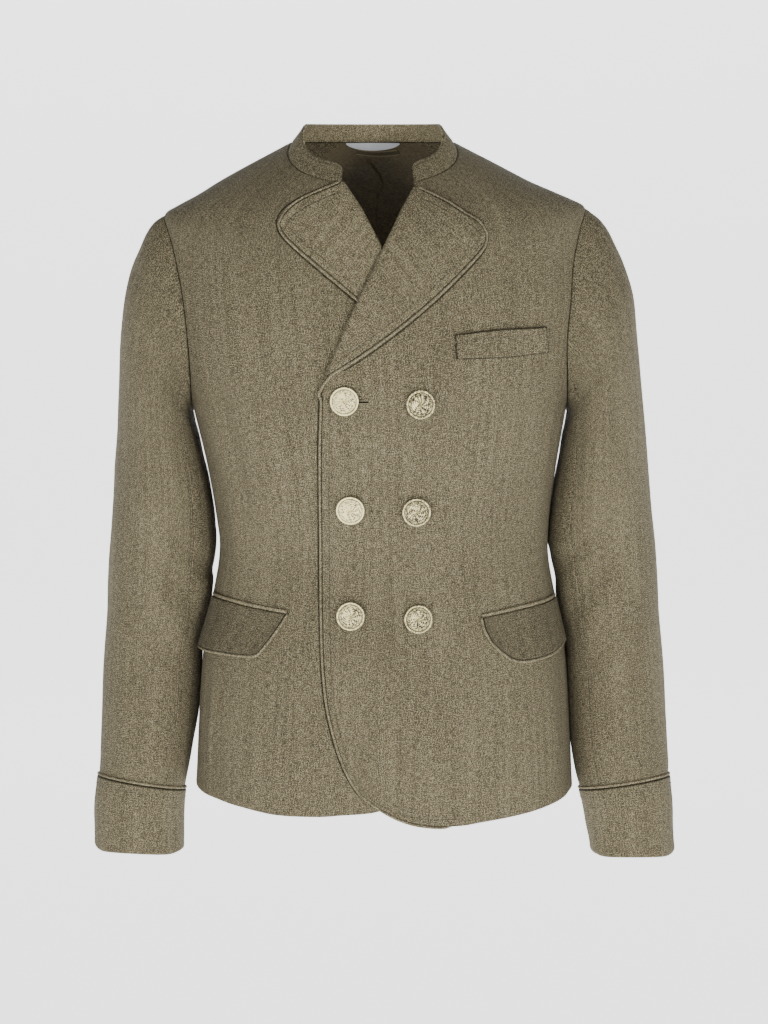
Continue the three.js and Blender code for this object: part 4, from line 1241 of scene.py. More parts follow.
# %% Lay cords along the edges
BREAK_PIPING = [(-57, -230.5, 1.8), (-62.3, -240, 0.6)]
TUCK = {"points": 5, "up": 3.2, "in": 0.6}


def edge_path(key, z_top, x_end):
    """The front edge and the hem of a front, in front view, from z_top down to x_end."""
    grid = grids[key]
    x = body_skin(grid[..., 0], grid[..., 1])[..., 0]
    line = np.stack([x, grid[..., 1]], -1)
    side = FRONTS[key]["side"]
    straight = line[::-1, 0][line[::-1, 0, 1] < z_top]
    hem = line[0, 1:][side * line[0, 1:, 0] < x_end]
    return even(np.concatenate([straight, hem]), LINE_STEP)


left_front = FRONTS["left"]
lapel_part = moved(lapel_edges["left"], -PIPE_REACH)
edge_part = moved(edge_path("left", left_front["break"] - 5, OVERLAP_FULL), PIPE_REACH)
path = np.concatenate([
    np.column_stack([lapel_part, np.full(len(lapel_part), LAY + CLOTH / 2)]),
    BREAK_PIPING,
    np.column_stack([edge_part, np.full(len(edge_part), 0.2 - CLOTH / 2)]),
])
path = even(path, LINE_STEP)
tuck = smooth(1 - np.arange(len(path))[::-1] / TUCK["points"])
path[:, 1] += TUCK["up"] * tuck
path[:, 2] -= TUCK["in"] * tuck
cord("piping_front_left_cord", [on_body(1, path, path[:, 2])], ["piping_front_left"])
path = moved(lapel_edges["right"], PIPE_REACH)
cord("piping_lapel_right_cord", [on_body(-1, path, LAY + CLOTH / 2)], ["piping_lapel_right"])

# %% [markdown]
# ## Shade beside the cords
#
# Where a lapel's cord lies on the front there is a thin dark line, because little light gets in.
# Soft studio light nearly loses it. The distance to that line is added to the creases that the
# front already carries. It is found from two lines, one on each side, so that it has a sign and
# stays exact between points that lie far apart.

# %% Darken the cloth beside a cord
SHADOW_PROBE = 6.0
SHADOW_ENDS = 4


def darken_beside(name, path, outward):
    """A dark line on the cloth just outside a cord that lies on it, where little light gets in."""
    mesh = made[name].data
    count = len(mesh.vertices)
    creases, places = np.zeros(count, np.float32), np.zeros(count * 3, np.float32)
    mesh.attributes["crease"].data.foreach_get("value", creases)
    mesh.vertices.foreach_get("co", places)
    seen = places.reshape(-1, 3)[: count // 2, [0, 2]] * MM
    gaps = []
    for reach in (EDGE_SHADOW - SHADOW_PROBE, EDGE_SHADOW + SHADOW_PROBE):
        line = even(moved(path, outward * reach), 1.0)[:, :2]
        gaps.append(np.linalg.norm(seen[:, None] - line[None], axis=2).min(1))
    signed = (gaps[0] - gaps[1]) / 2
    old = creases[: count // 2]
    near = (gaps[0] + gaps[1] < 2 * SHADOW_PROBE + 3) & (np.abs(signed) < np.abs(old))
    creases[: count // 2] = np.where(near, signed, old)
    mesh.attributes["crease"].data.foreach_set("value", creases)
    print(name, "darkened at", int(near.sum()), "points")


for key, outward in (("left", -1), ("right", 1)):
    line = lapel_edges[key][SHADOW_ENDS:-SHADOW_ENDS]
    darken_beside(f"front_{key}_cloth", line, outward)

# %% [markdown]
# ## Stitch rows of the fronts and lapels
#
# A row of small stitches runs beside every piped edge and holds the layers together. A bump alone
# would be flat from the side. So the rows are collected as lines, here and in the steps that
# follow, and sewn in one go near the end.

# %% Collect the first rows
THREAD_RISE = 0.2
stitch_lines = []
row = moved(edge_path("left", left_front["break"] - 8, FACING_END["x"]), -EDGE_STITCH)
stitch_lines.append(on_body(1, row, THREAD_RISE))
for key, reach in (("left", LAPEL_STITCH), ("right", -LAPEL_STITCH)):
    row = moved(lapel_edges[key], reach)
    stitch_lines.append(on_body(FRONTS[key]["side"], row[6:-10], LAY + CLOTH + THREAD_RISE))
print(len(stitch_lines), "rows so far")

# %% [markdown]
# ## The collar's foot
#
# A stand collar is a bent strip that leans in towards the neck. It could be a lofted solid. Here
# its foot follows the neck seam point by point, and each row steps up and inwards from it, so that
# the collar can't part from the body. Its front corners are rounded by their height.

# %% Follow the neck seam
COLLAR = {"height": 24, "cloth": 2.8, "rise": 0.75, "lean": 0.56, "corner": 10}
CORNER_STEPS = np.array([0, 0.3, 0.7, 1.3, 2.0, 2.9])
start, end = FRONTS["right"]["notch"], FRONTS["left"]["notch"]
angles = np.concatenate([
    start - CORNER_STEPS, np.linspace(start - 4, -180, 110),
    np.linspace(180, end + 4, 110)[1:], end + CORNER_STEPS[::-1],
])
foot = body_skin(angles, neck_height(angles))
step = np.gradient(foot, axis=0)
inward = unit(np.stack([step[:, 1], -step[:, 0], step[:, 0] * 0], -1))
along = np.concatenate([[0], np.cumsum(np.linalg.norm(np.diff(foot, axis=0), axis=1))])
from_end = np.minimum(np.minimum(along, along[-1] - along), COLLAR["corner"])
cut = COLLAR["corner"] - np.sqrt(COLLAR["corner"] ** 2 - (COLLAR["corner"] - from_end) ** 2)
steps = EDGE_STEPS[:-1] / COLLAR["height"]
shares = np.concatenate([steps, np.linspace(0.12, 0.88, 10), 1 - steps[::-1]])
height = (COLLAR["height"] - cut)[None] * shares[:, None]
print("collar", round(float(along[-1])), "mm round")

# %% [markdown]
# ## The collar's wall and stitches
#
# The collar is two layers of linen. Its inside is painted paler, as painted light that stands in
# for the light falling on it. A row of stitches runs along its upper edge on both faces and another
# one along its foot.

# %% Stand the collar up
COLLAR_ROLL = 1.3
COLLAR_STITCH = 3.2
COLLAR_FOOT = 2.2


def collar_layer(depth):
    reach = depth + COLLAR["lean"] * height
    rise = np.stack([height * 0, height * 0, COLLAR["rise"] * height], -1)
    return foot[None] + inward[None] * reach[..., None] + rise


def collar_row(depth, up, ends):
    """A row of stitches along the collar, on one face, from its foot up."""
    line = foot + inward * (depth + COLLAR["lean"] * up) + [0, 0, COLLAR["rise"] * up]
    return even(line[ends:-ends], LINE_STEP)


edges = edge_distances(collar_layer(SEAT_GAP + height * 0))
drop = rolled(np.minimum.reduce(edges), COLLAR_ROLL)
put(
    "collar_cloth", collar_layer(SEAT_GAP + drop), collar_layer(SEAT_GAP + COLLAR["cloth"] - drop),
    np.stack([np.repeat(along[None], len(shares), 0), height], -1), [collar_linen, collar_inside_lit],
    "jacket_cloth", ["collar"], values={"stitch": edges[3] - COLLAR_STITCH},
    inner_kind=np.ones((len(shares) - 1, len(angles) - 1), int),
)
inner_face = SEAT_GAP + COLLAR["cloth"] + THREAD_RISE
for depth in (SEAT_GAP - THREAD_RISE, inner_face):
    stitch_lines.append(collar_row(depth, COLLAR["height"] - COLLAR_STITCH, 12))
stitch_lines.append(collar_row(inner_face, COLLAR_FOOT, 30))

# %% [markdown]
# ## Rings of a sleeve
#
# A sleeve is a bent tube, wide at the armhole and narrow at the wrist. It could be swept along its
# middle, but the outer and the inner side have different outlines. So a table of rings says where
# both sides lie. Three short lists refine the looks of each arm: how near the body its inner side
# rests, how full its outer side stands, and how its end tilts.

# %% Tables of the sleeves
# Sleeve rings: outer x, outer z, inner x, inner z, middle and half depth from front to back,
# rise of the front over the middle, and how far the outer and inner points turn up
SLEEVE = np.array([
    [212.3, -70.5, 188.8, -264.5, 3, 55, 0, 0], [219, -76, 190.8, -268, 3, 57.5, 0, 0],
    [228.5, -87, 191.6, -273, 3, 60, 0, 0], [239.5, -109, 191.6, -279, 3, 63, 0, 0],
    [249, -135, 191, -287, 3, 66, 0, 0], [256, -166, 189.2, -299, 3, 68, 0, 0],
    [260.5, -205, 185.7, -318, 3.5, 69, 0, 0], [265, -255, 180.2, -342, 4, 68.5, 0, 0],
    [270, -322, 174.6, -374, 5, 66.5, 0, 0], [276.5, -385, 171.8, -403, 6, 63.5, 0, 0],
    [280.5, -432, 176, -437, 6, 61, 0.5, 0], [283.5, -475, 183.5, -477, 5, 59, 1.5, 0],
    [287, -520, 191, -522, 3, 57, 3, 0], [289.8, -565, 194, -567, -2, 54, 5, 0],
    [291.5, -608, 198.5, -616, -9, 50.5, 7, 0], [294.2, -645, 206.3, -660, -15, 47, 9, 0],
    [297.2, -686, 210.5, -694, -20, 45, 10.3, 1],
    [297.2, -725.6, 213, -725.6, -24, 44, 11.4, 8],
])


# How much nearer the body the inner side of a sleeve rests than in the solids, by ring
SLEEVE_REST = {
    1: [(0, 0), (3, 1.5), (4, 4), (5, 5.6), (6, 5.6), (7, 4.8), (8, 4.5), (9, 4.4), (9.4, 2.6),
        (10.1, 2.2), (10.6, 4), (11.5, 4.4), (12.5, 4.8), (13.2, 5), (14, 5.8), (14.5, 5.6),
        (15, 3.8), (15.4, 2.2), (16, 0.5), (16.5, -1.5), (17, -2)],
    -1: [(0, 0), (3, 1), (4, 3.2), (5, 4.8), (6, 4.8), (7, 3.8), (8, 2.4), (8.6, 0.5), (9.9, 0),
         (10.2, 3.4), (10.8, 4), (11.5, 4.4), (12.5, 4.6), (13.2, 4), (14, 1.2), (15, 0.4),
         (15.6, 1.5), (16.1, 2.6), (16.5, 3.6), (17, 4.6)],
}
# How much further out the outer side stands, by ring
SLEEVE_FULL = {
    1: [(0, 0), (0.8, 1.5), (1.6, 3.2), (2.6, 5), (3.4, 5.8), (4.4, 4.8), (5.5, 3), (6.6, 1.6),
        (8.2, 1.6), (9.5, 0), (14.6, 0), (15, -1.4), (15.8, -1.6), (16.4, -1), (17, 0)],
    -1: [(0, 0), (0.8, 2), (1.8, 1), (3, 0), (7.4, 0), (8.2, 2.8), (9.7, 2.8), (11, 2), (12.5, 1),
         (14, 0), (15, -0.8), (16, -0.6), (17, -1.5)],
}
# How far the end of a sleeve turns up on its outer and its inner side
SLEEVE_TILT = {1: (-3.5, -3.5), -1: (2.5, -2.0)}
ring_numbers = range(len(SLEEVE))
names = ("out_x", "out_z", "in_x", "in_z", "middle", "depth", "rise", "corner")
sleeve = {name: through(ring_numbers, SLEEVE[:, i]) for i, name in enumerate(names)}
sleeve_rest = {side: through_pairs(pairs) for side, pairs in SLEEVE_REST.items()}
sleeve_full = {side: through_pairs(pairs) for side, pairs in SLEEVE_FULL.items()}
print("arm", float(SLEEVE[0, 1] - SLEEVE[-1, 1]), "mm from shoulder to cuff")

# %% [markdown]
# ## Folds of a sleeve
#
# A hanging sleeve folds at the bend of the arm, at a slant. The folds could be sculpted, but then
# they would stay behind when a ring moves. As on the body, each fold is a soft hollow with a place
# and a size, and here also with a slant.

# %% Fold the sleeves
# Folds of a sleeve: turn, ring, slant in rings over a quarter turn, width, length, depth
SLEEVE_FOLDS = [
    (115, 10.2, 2.2, 0.55, 48, 3.2), (100, 11.4, 2.0, 0.5, 40, 2.2), (60, 7.2, -2.4, 0.8, 45, 2.0),
    (285, 9.4, 1.4, 0.6, 45, 2.4), (255, 7.4, -1.6, 0.7, 40, 2.0),
]
# Small folds that only the looks have, in the same measures as SLEEVE_FOLDS
FINE_SLEEVE_FOLDS = [
    (130, 9.3, 1.8, 0.35, 34, 1.5), (80, 12.4, 1.4, 0.4, 30, 1.1), (35, 10.6, -1.2, 0.5, 40, 1.0),
    (330, 8.2, 1.6, 0.6, 40, 1.1), (210, 10.6, 1.5, 0.4, 40, 1.6), (170, 11.6, -1.0, 0.35, 36, 1.3),
    (75, 4.6, -2.0, 0.6, 30, 1.0), (20, 3.2, 1.6, 0.5, 30, 0.8), (300, 4.4, -1.8, 0.6, 34, 1.0),
]
SLEEVE_FOLD_DEPTH = 1.2


def sleeve_fold(turn, ring):
    depth = 0.35 * np.sin(np.radians(3 * turn) + ring * 1.7) * np.sin(ring * 2.3 + 0.4)
    for folds, share in ((SLEEVE_FOLDS, SLEEVE_FOLD_DEPTH), (FINE_SLEEVE_FOLDS, FINE_DEPTH)):
        for middle, at, slant, wide, long, deep in folds:
            away = turned(middle, turn)
            off = (ring - at - slant * away / 90) / wide
            depth = depth + share * deep * np.exp(-(off**2) - (away / long) ** 2)
    return depth


print("deepest at the bend of the arm:", round(float(sleeve_fold(115.0, 10.2)), 2), "mm")

# %% [markdown]
# ## The skin of a sleeve
#
# A point of a sleeve is a turn round it and a place along its rings. The first rings fade from the
# armhole's own outline into the round sleeve. That keeps the armhole seam closed, which a separate
# tube pushed against the body could not.

# %% A point on a sleeve
CORNER_POWER = 8
CUFF_START = 15
CUFF_END = 17
ARMHOLE_FADE = 5


def armhole_ring(side, turn):
    z = armhole_height(turn, ARMHOLE_GAP)
    y = armhole_depth(turn, ARMHOLE_GAP)
    point = body_at(angle_at_depth(side, y, z), z, SEAM)
    return np.stack([side * (point[..., 0] - body["lean"](z)), point[..., 1], point[..., 2]], -1)


def sleeve_ring(side, turn, ring):
    c, s = np.cos(np.radians(turn)), np.sin(np.radians(turn))
    outer = (1 + c) / 2
    x = mix(sleeve["in_x"](ring), sleeve["out_x"](ring), outer)
    z = mix(sleeve["in_z"](ring), sleeve["out_z"](ring), outer)
    z = z + sleeve["rise"](ring) * s + sleeve["corner"](ring) * c**CORNER_POWER
    x = x - sleeve_rest[side](ring) * (1 - outer) ** 3 + sleeve_full[side](ring) * outer**2
    at_outer, at_inner = SLEEVE_TILT[side]
    z = z + mix(at_inner, at_outer, outer) * smooth((ring - CUFF_START) / 2)
    return np.stack([x, sleeve["middle"](ring) - sleeve["depth"](ring) * s, z], -1)


def sleeve_skin(side, turn, ring):
    turn, ring = np.broadcast_arrays(np.asarray(turn, float), np.asarray(ring, float))
    fade = 1 - smooth(ring / ARMHOLE_FADE)
    start = armhole_ring(side, turn) - sleeve_ring(side, turn, ring * 0)
    return sleeve_ring(side, turn, ring) + start * fade[..., None]


def sleeve_at(side, turn, ring, out=0.0):
    low = np.maximum(ring - 0.05, 0)
    around = sleeve_skin(side, turn + 1, ring) - sleeve_skin(side, turn - 1, ring)
    down = sleeve_skin(side, turn, low + 0.1) - sleeve_skin(side, turn, low)
    normal = unit(np.cross(around, down))
    point = sleeve_skin(side, turn, ring) + normal * (out - sleeve_fold(turn, ring))[..., None]
    lean = body["lean"](np.maximum(point[..., 2], BODY[0, 0]))
    return np.stack([lean + side * point[..., 0], point[..., 1], point[..., 2]], -1)

# %% [markdown]
# ## Rows and columns of a sleeve
#
# A sleeve is cut in two pieces, an upper one and a narrow one under the arm. Their seams run down
# at fixed turns, front and back. The rows lie closer together where folds need them, and the
# columns beside both seams.

# %% Where the points of a sleeve lie
SLEEVE_END = 16.85
FRONT_SEAM = 130
BACK_SEAM = 236
rings = np.concatenate([
    [0, 0.02, 0.06, 0.13, 0.22], np.arange(0.35, 7, 0.2), np.arange(7, 14.9, 0.125),
    np.arange(14.9, SLEEVE_END - 0.05, 0.15), [SLEEVE_END - 0.03, SLEEVE_END],
])


def turns_per_mm(turn):
    size = np.linalg.norm(sleeve_skin(1, turn + 1, rings) - sleeve_skin(1, turn - 1, rings), axis=1)
    return 2 / size


def sleeve_turns(start, end, count):
    """Turns for each ring, clear of both seams and closer together beside them."""
    first = start + (HALF_SEAM + EDGE_STEPS[None]) * turns_per_mm(start)[:, None]
    last = end - (HALF_SEAM + EDGE_STEPS[None, ::-1]) * turns_per_mm(end)[:, None]
    middle = np.linspace(0, 1, count + 2)[1:-1]
    return np.concatenate([first, mix(first[:, -1:], last[:, :1], middle), last], 1)


print(len(rings), "rows for each sleeve")

# %% [markdown]
# ## The two pieces of a sleeve
#
# One tube would give the same form, but both seams are seen, and each piece has its own grain. So
# each one is a wall like the body's. Its inside shows satin, and near the end the jacket's own
# cloth, which is turned in there.

# %% Cut the sleeves
SEAM_STITCH = 2.4
SEAM_ROLL = 0.6
SLEEVE_PARTS = (("top", BACK_SEAM, 360 + FRONT_SEAM, 84), ("under", FRONT_SEAM, BACK_SEAM, 40))
SLEEVE_GRAIN_RADIUS = 56
SLEEVE_HEM = 40


def sleeve_panel(key, side, part, start, end, count):
    turns = sleeve_turns(start, end, count)
    ring = np.repeat(rings[:, None], turns.shape[1], 1)
    flat = sleeve_at(side, turns, ring, 0 * ring)
    _, right, _, end_away = edges = edge_distances(flat)
    drop = rolled(np.minimum.reduce(edges), SEAM_ROLL)
    kinds = np.where(end_away < SLEEVE_HEM, 0, 1)[:-1, :-1]
    stitch = right - SEAM_STITCH if part == "top" else right * 0 + NONE
    uv = grain_of(flat, np.radians(turns) * SLEEVE_GRAIN_RADIUS + (400 if side > 0 else 0))
    put(
        f"sleeve_{part}_{key}_cloth", sleeve_at(side, turns, ring, -drop),
        sleeve_at(side, turns, ring, -CLOTH + np.maximum(drop, 0)), uv,
        [jacket_linen, sleeve_satin], "jacket_cloth", [f"sleeve_{part}_{key}"],
        values={"stitch": stitch}, inner_kind=kinds,
    )

# %% [markdown]
# ## Cuffs and the rows on a sleeve
#
# The cuff is a band of cloth turned back over the end of the sleeve, with piping along its upper
# edge. Folding the sleeve's own end over would stretch its weave, so the cuff is a closed ring just
# outside the sleeve. A row of stitches runs round it and one down the front seam of the sleeve.

# %% Turn the cuffs back
CUFF_PIPING_RING = 14.95
# How far out the cuff's face lies, at its top edge and below, and its half-sunk piping
CUFF_FACE = {"top": 1.8, "below": 2.1}
CUFF_WALL = 1.7
CUFF_PIPING_SINK = 0.9
CUFF_GRAIN_RADIUS = 47
CUFF_STITCH = 8
# Millimetres from one ring to the next, at the cuff's top and at its end
CUFF_STEP = {"top": 39, "end": 36}


def cuff_face(ring):
    return mix(CUFF_FACE["top"], CUFF_FACE["below"], smooth((ring - CUFF_START) / 0.7))


def cuff(key, side):
    cuff_rings = np.concatenate([
        CUFF_START + EDGE_STEPS[:-1] / CUFF_STEP["top"],
        np.linspace(CUFF_START + 0.1, CUFF_END - 0.1, 22),
        CUFF_END - EDGE_STEPS[:-1][::-1] / CUFF_STEP["end"],
    ])
    turn, ring = np.meshgrid(np.linspace(0, 360, 120, endpoint=False), cuff_rings)
    face = cuff_face(ring)
    _, _, head, end_away = edge_distances(sleeve_at(side, turn, ring, face))
    drop = rolled(np.minimum(head, end_away), PIPED_ROLL)
    uv = np.stack([np.radians(turn) * CUFF_GRAIN_RADIUS, head], -1)
    put(
        f"cuff_{key}_cloth", sleeve_at(side, turn, ring, face - drop),
        sleeve_at(side, turn, ring, face - CUFF_WALL + np.maximum(drop, 0)), uv, [jacket_linen],
        "jacket_cloth", [f"cuff_{key}"], closed=True,
        # The crease below the cuff's piping is a painted shade line
        values={"stitch": head - CUFF_STITCH, "crease": head + PIPED_EDGE},
    )
    turn = np.linspace(0, 360, 200, endpoint=False)
    path = sleeve_at(side, turn, turn * 0 + CUFF_PIPING_RING, turn * 0 + CUFF_PIPING_SINK)
    cord(f"piping_cuff_{key}_cord", [path], [f"piping_cuff_{key}"], closed=True)


def sleeve_rows(side):
    """The rows of stitches round the cuff and down the front seam."""
    turn = np.linspace(0, 360, 201)
    ring = turn * 0 + CUFF_START + CUFF_STITCH / CUFF_STEP["top"]
    stitch_lines.append(sleeve_at(side, turn, ring, cuff_face(ring) + THREAD_RISE))
    ring = np.linspace(0.6, 14.9, 260)
    ahead, behind = (sleeve_skin(side, FRONT_SEAM + step, ring) for step in (1, -1))
    size = np.linalg.norm(ahead - behind, axis=1) / 2
    turn = FRONT_SEAM - (SEAM_STITCH + HALF_SEAM) / size
    stitch_lines.append(sleeve_at(side, turn, ring, ring * 0 + THREAD_RISE))


for key, front in FRONTS.items():
    for part in SLEEVE_PARTS:
        sleeve_panel(key, front["side"], *part)
    cuff(key, front["side"])
    sleeve_rows(front["side"])
print(len(stitch_lines), "rows so far")

# %% [markdown]
# ## Seams
#
# Under each seam lies the folded allowance of both pieces. Without it light would come through
# between two walls. A thin cord of cloth stands for it, sunk a little below the faces, and the
# same node group makes it. Its linen is painted dark, as painted shade in the seam's groove.

# %% Press the seams
SEAM_SINK = 1.05
SEAM_RADIUS = 0.75
sunk_lines, ring_lines = [], []
for side, key in ((1, "left"), (-1, "right")):
    hem = FRONTS[key]["hem_side"]
    below = np.linspace(hem + 3, armhole_height(180), 80)
    above = np.linspace(armhole_height(0), -1, 40)
    for part in (below, above):
        angle = angle_at_depth(side, part * 0 + 0.001, part)
        sunk_lines.append(body_at(angle, part, -SEAM_SINK))
    turn = np.linspace(0, 360, 120, endpoint=False)
    ring_lines.append(sleeve_at(side, turn, turn * 0, turn * 0 - SEAM_SINK))
    for seam in (FRONT_SEAM, BACK_SEAM):
        ring = np.linspace(0.1, SLEEVE_END - 0.1, 200)
        sunk_lines.append(sleeve_at(side, ring * 0 + seam, ring, ring * 0 - SEAM_SINK))
z = np.linspace(BACK_HEM + 3, -1, 120)
sunk_lines.append(body_at(z * 0 + 180, z, -SEAM_SINK))
middle = SEAT_GAP + COLLAR["cloth"] / 2
sunk_lines.append(foot[1:-1] + inward[1:-1] * middle + [0, 0, -0.4])
in_seam = {"radius": SEAM_RADIUS, "material": seam_linen_shaded, "slot": "jacket_cloth"}
cord("seam_allowances", sunk_lines, [], **in_seam)
cord("armhole_allowances", ring_lines, [], closed=True, **in_seam)

# %% [markdown]
# ## The notch
#
# Where the lapel leaves the collar, a small corner of the facing shows. Left out, it would be a
# dark hole. It is a panel on the body like the others, just under the front's corner.

# %% Close the notch
NOTCH_FACING = {"from": 30, "to": 52, "bottom": -56, "cloth": 1.0, "sink": 0.3, "seen_at": 42}
x, v = np.meshgrid(np.linspace(NOTCH_FACING["from"], NOTCH_FACING["to"], 24), np.linspace(0, 1, 16))
angle = angle_at(x, x * 0 - NOTCH_FACING["seen_at"])
z = mix(NOTCH_FACING["bottom"], neck_height(angle) - 0.2, v)
out = front_out(1, angle, z) - NOTCH_FACING["sink"]
body_panel(
    "notch_facing_cloth", np.stack([angle, z], -1), out, out - NOTCH_FACING["cloth"], [collar_linen],
    "jacket_cloth", [], roll=0.4,
)

# %% [markdown]
# ## Pattern of a pocket flap
#
# A flap hangs from the pocket's mouth, with a round or a slanting front corner, and stands off a
# little at its lower edge. It could be cut from the front and pulled out. It is drawn by its four
# edges instead, and how far it stands off grows from the top down and from front to rear.

# %% Grid of a flap
FLAPS = {
    "left": {
        "front": [(31.4, -462.5), (32.1, -475), (34.4, -489)],
        "bottom": [(34.4, -489), (39.5, -503), (45, -508.5), (57, -507.5), (68, -503.5), (78, -499)],
        "top": [(31.4, -462.5), (45, -458.8), (60, -457), (79, -457)],
        "rear": [(78, -499), (79, -457)],
        "flare": (0.4, 2.2),
    },
    "right": {
        "front": [(-31.5, -459), (-35.5, -480), (-39.6, -498)],
        "bottom": [(-39.6, -498), (-42.5, -502.5), (-56, -504.5), (-68, -506.5), (-80.5, -508)],
        "top": [(-31.5, -459), (-45, -456), (-60, -454), (-78, -455.5)],
        "rear": [(-80.5, -508), (-78, -455.5)],
        "flare": (1.2, 4.6),
    },
}
FLAP_CURL = 1.3
MEAN_RADIUS = 0.86
# The height that both flaps hang at, and the length of their front edge
FLAP_AT = {"z": -480.0, "long": 48}


def body_radius(z):
    return body["width"](z) * MEAN_RADIUS


def flap_grid(flap):
    front, bottom, top, rear = (curve(flap[name]) for name in ("front", "bottom", "top", "rear"))
    steps = EDGE_STEPS[:-1] / FLAP_AT["long"]
    shares = np.concatenate([steps, np.linspace(0.09, 0.91, 16), 1 - steps[::-1]])
    left, right = front(1 - shares), rear(shares)
    size = body_radius(FLAP_AT["z"]) * math.radians(abs(left[0, 0] - right[0, 0]))
    u = columns(np.full(len(shares), size), 34)
    return pattern(left, right, bottom, top, u), shares, u


def flap_out(side, flap, share, u, angle, z):
    hang = (1 - share) ** FLAP_CURL
    return front_out(side, angle, z) + LAY + hang * mix(*flap["flare"], u)


print("rows and columns of a flap:", flap_grid(FLAPS["left"])[0].shape[:2])

# %% [markdown]
# ## Flaps and the jettings above them
#
# The flap is the jacket's linen painted darker, as painted shade, with piping along its front and
# lower edge. Above it lies a jetting, a narrow folded strip that finishes the pocket's mouth. Strip
# and cord both follow the flap's own grid, so that they fit it exactly.

# %% Sew on the flaps
JETTING = {"height": 3.4, "cloth": 1.6, "gap": 0.5}
JETTING_SHARES = np.array([0, 0.06, 0.17, 0.35, 0.5, 0.65, 0.83, 0.94, 1])
FLAP_ROLL = 1.2
JETTING_ROLL = 0.75
# Moves the weave on a piece, so that it doesn't repeat the one beside it
FLAP_WEAVE = 911


def flap_piping(key, side, flap, grid, share, u):
    """A cord down the front edge of a flap and along its lower edge."""
    joined = [
        np.concatenate([a[::-1, 0][:-1], a[0]])
        for a in (grid[..., 0], grid[..., 1], share, u)
    ]
    joined[0] = np.radians(joined[0]) * body_radius(joined[1])
    across, z, share, u = even(np.column_stack(joined), LINE_STEP).T
    radius = body_radius(z)
    shifted = moved(np.column_stack([across, z]), side * PIPE_REACH)
    out = flap_out(side, flap, share, u, np.degrees(across / radius), z) + FLAP_CLOTH / 2
    path = body_at(np.degrees(shifted[:, 0] / radius), shifted[:, 1], out)
    cord(f"piping_flap_{key}_cord", [path], [f"piping_flap_{key}"])


for key, flap in FLAPS.items():
    side = FRONTS[key]["side"]
    grid, shares, u = flap_grid(flap)
    share = np.repeat(shares[:, None], u.shape[1], 1)
    inner = flap_out(side, flap, share, u, grid[..., 0], grid[..., 1])
    flat = body_at(grid[..., 0], grid[..., 1], inner)
    left, _, bottom, _ = edge_distances(flat)
    body_panel(
        f"flap_{key}_cloth", grid, inner + FLAP_CLOTH, inner, [flap_linen_shaded], "jacket_cloth",
        [f"flap_{key}"], roll=FLAP_ROLL, uv=grain_of(flat) + FLAP_WEAVE,
        # The crease along the flap's piped edges is a painted shade line
        values={"crease": np.minimum(left, bottom) + PIPED_EDGE},
    )
    flap_piping(key, side, flap, grid, share, u)
    ups = JETTING["gap"] + JETTING["height"] * JETTING_SHARES
    strip = np.stack([np.stack([grid[-1, :, 0], grid[-1, :, 1] + up], -1) for up in ups])
    base = front_out(side, strip[..., 0], strip[..., 1]) + LAY
    # The jetting uses the piping's linen, painted paler as painted light
    body_panel(
        f"jetting_{key}_cloth", strip, base + JETTING["cloth"], base, [piping_linen_lit],
        "jacket_cloth", [f"jetting_{key}"], roll=JETTING_ROLL,
    )

# %% [markdown]
# ## Breast welt
#
# The breast pocket has a welt, a stiff upright strip sewn down at both ends. It is a panel of its
# own, and all its edges carry a crease, a line of painted shade, because it is the same cloth as the
# front and only its outline tells it apart.

# %% Sew on the welt
WELT = {
    "bottom": [(68.4, -207.4), (112, -207), (160, -204)],
    "top": [(66.8, -184), (112, -179.4), (157.5, -178.6)],
    "cloth": 2.4,
}
# Its size, the height that its rows are set by, the painted shade line inside its edge, a shift of its
# weave
WELT_SIZE = {"wide": 92, "high": 25, "least": 24, "seam": 0.3, "weave": 333}
WELT_STITCH = {"top": 7.5, "ends": 3.0}
low, high = curve(WELT["bottom"]), curve(WELT["top"])
steps = EDGE_STEPS[:-1] / WELT_SIZE["least"]
v = np.concatenate([steps, np.linspace(0.18, 0.82, 10), 1 - steps[::-1]])
u = columns(np.full(len(v), float(WELT_SIZE["wide"])), 36)
grid = mix(low(u), high(u), v[:, None, None])
angles = to_angles(grid)
base = front_out(1, angles[..., 0], angles[..., 1]) + LAY
left, right, bottom, top = edge_distances(body_at(angles[..., 0], angles[..., 1], base))
end_rows = np.minimum(left, right) - WELT_STITCH["ends"]
top_row = top - WELT_STITCH["top"]
# A crease just inside all four edges: a painted shade line round the welt
crease = np.minimum.reduce([left, right, bottom, top]) - WELT_SIZE["seam"]
body_panel(
    "breast_welt_cloth", angles, base + WELT["cloth"], base, [jacket_linen], "jacket_cloth",
    ["breast_welt"], uv=grid + WELT_SIZE["weave"],
    values={"stitch": np.where(np.abs(end_rows) < np.abs(top_row), end_rows, top_row), "crease": crease},
)
share = np.linspace(0, 1, 60)
rows = [mix(low(share), high(share), 1 - WELT_STITCH["top"] / WELT_SIZE["high"])]
from_end = WELT_STITCH["ends"] / WELT_SIZE["wide"]
across = np.linspace(0.06, 0.94, 12)
for end in (from_end, 1 - from_end):
    ends = np.full(12, end)
    rows.append(mix(low(ends), high(ends), across[:, None]))
stitch_lines += [on_body(1, row, LAY + WELT["cloth"] + THREAD_RISE) for row in rows]
print(len(stitch_lines), "rows so far")

# %% [markdown]
# ## Lining behind the neck
#
# Behind the open neck the satin lining shows, with a pleat down its middle that gives room to move.
# It is a wall just inside the backs. The pleat is a fold in its own points rather than a line in
# the colour, so that it shades by itself. On each side a triangle of the facing shows instead.

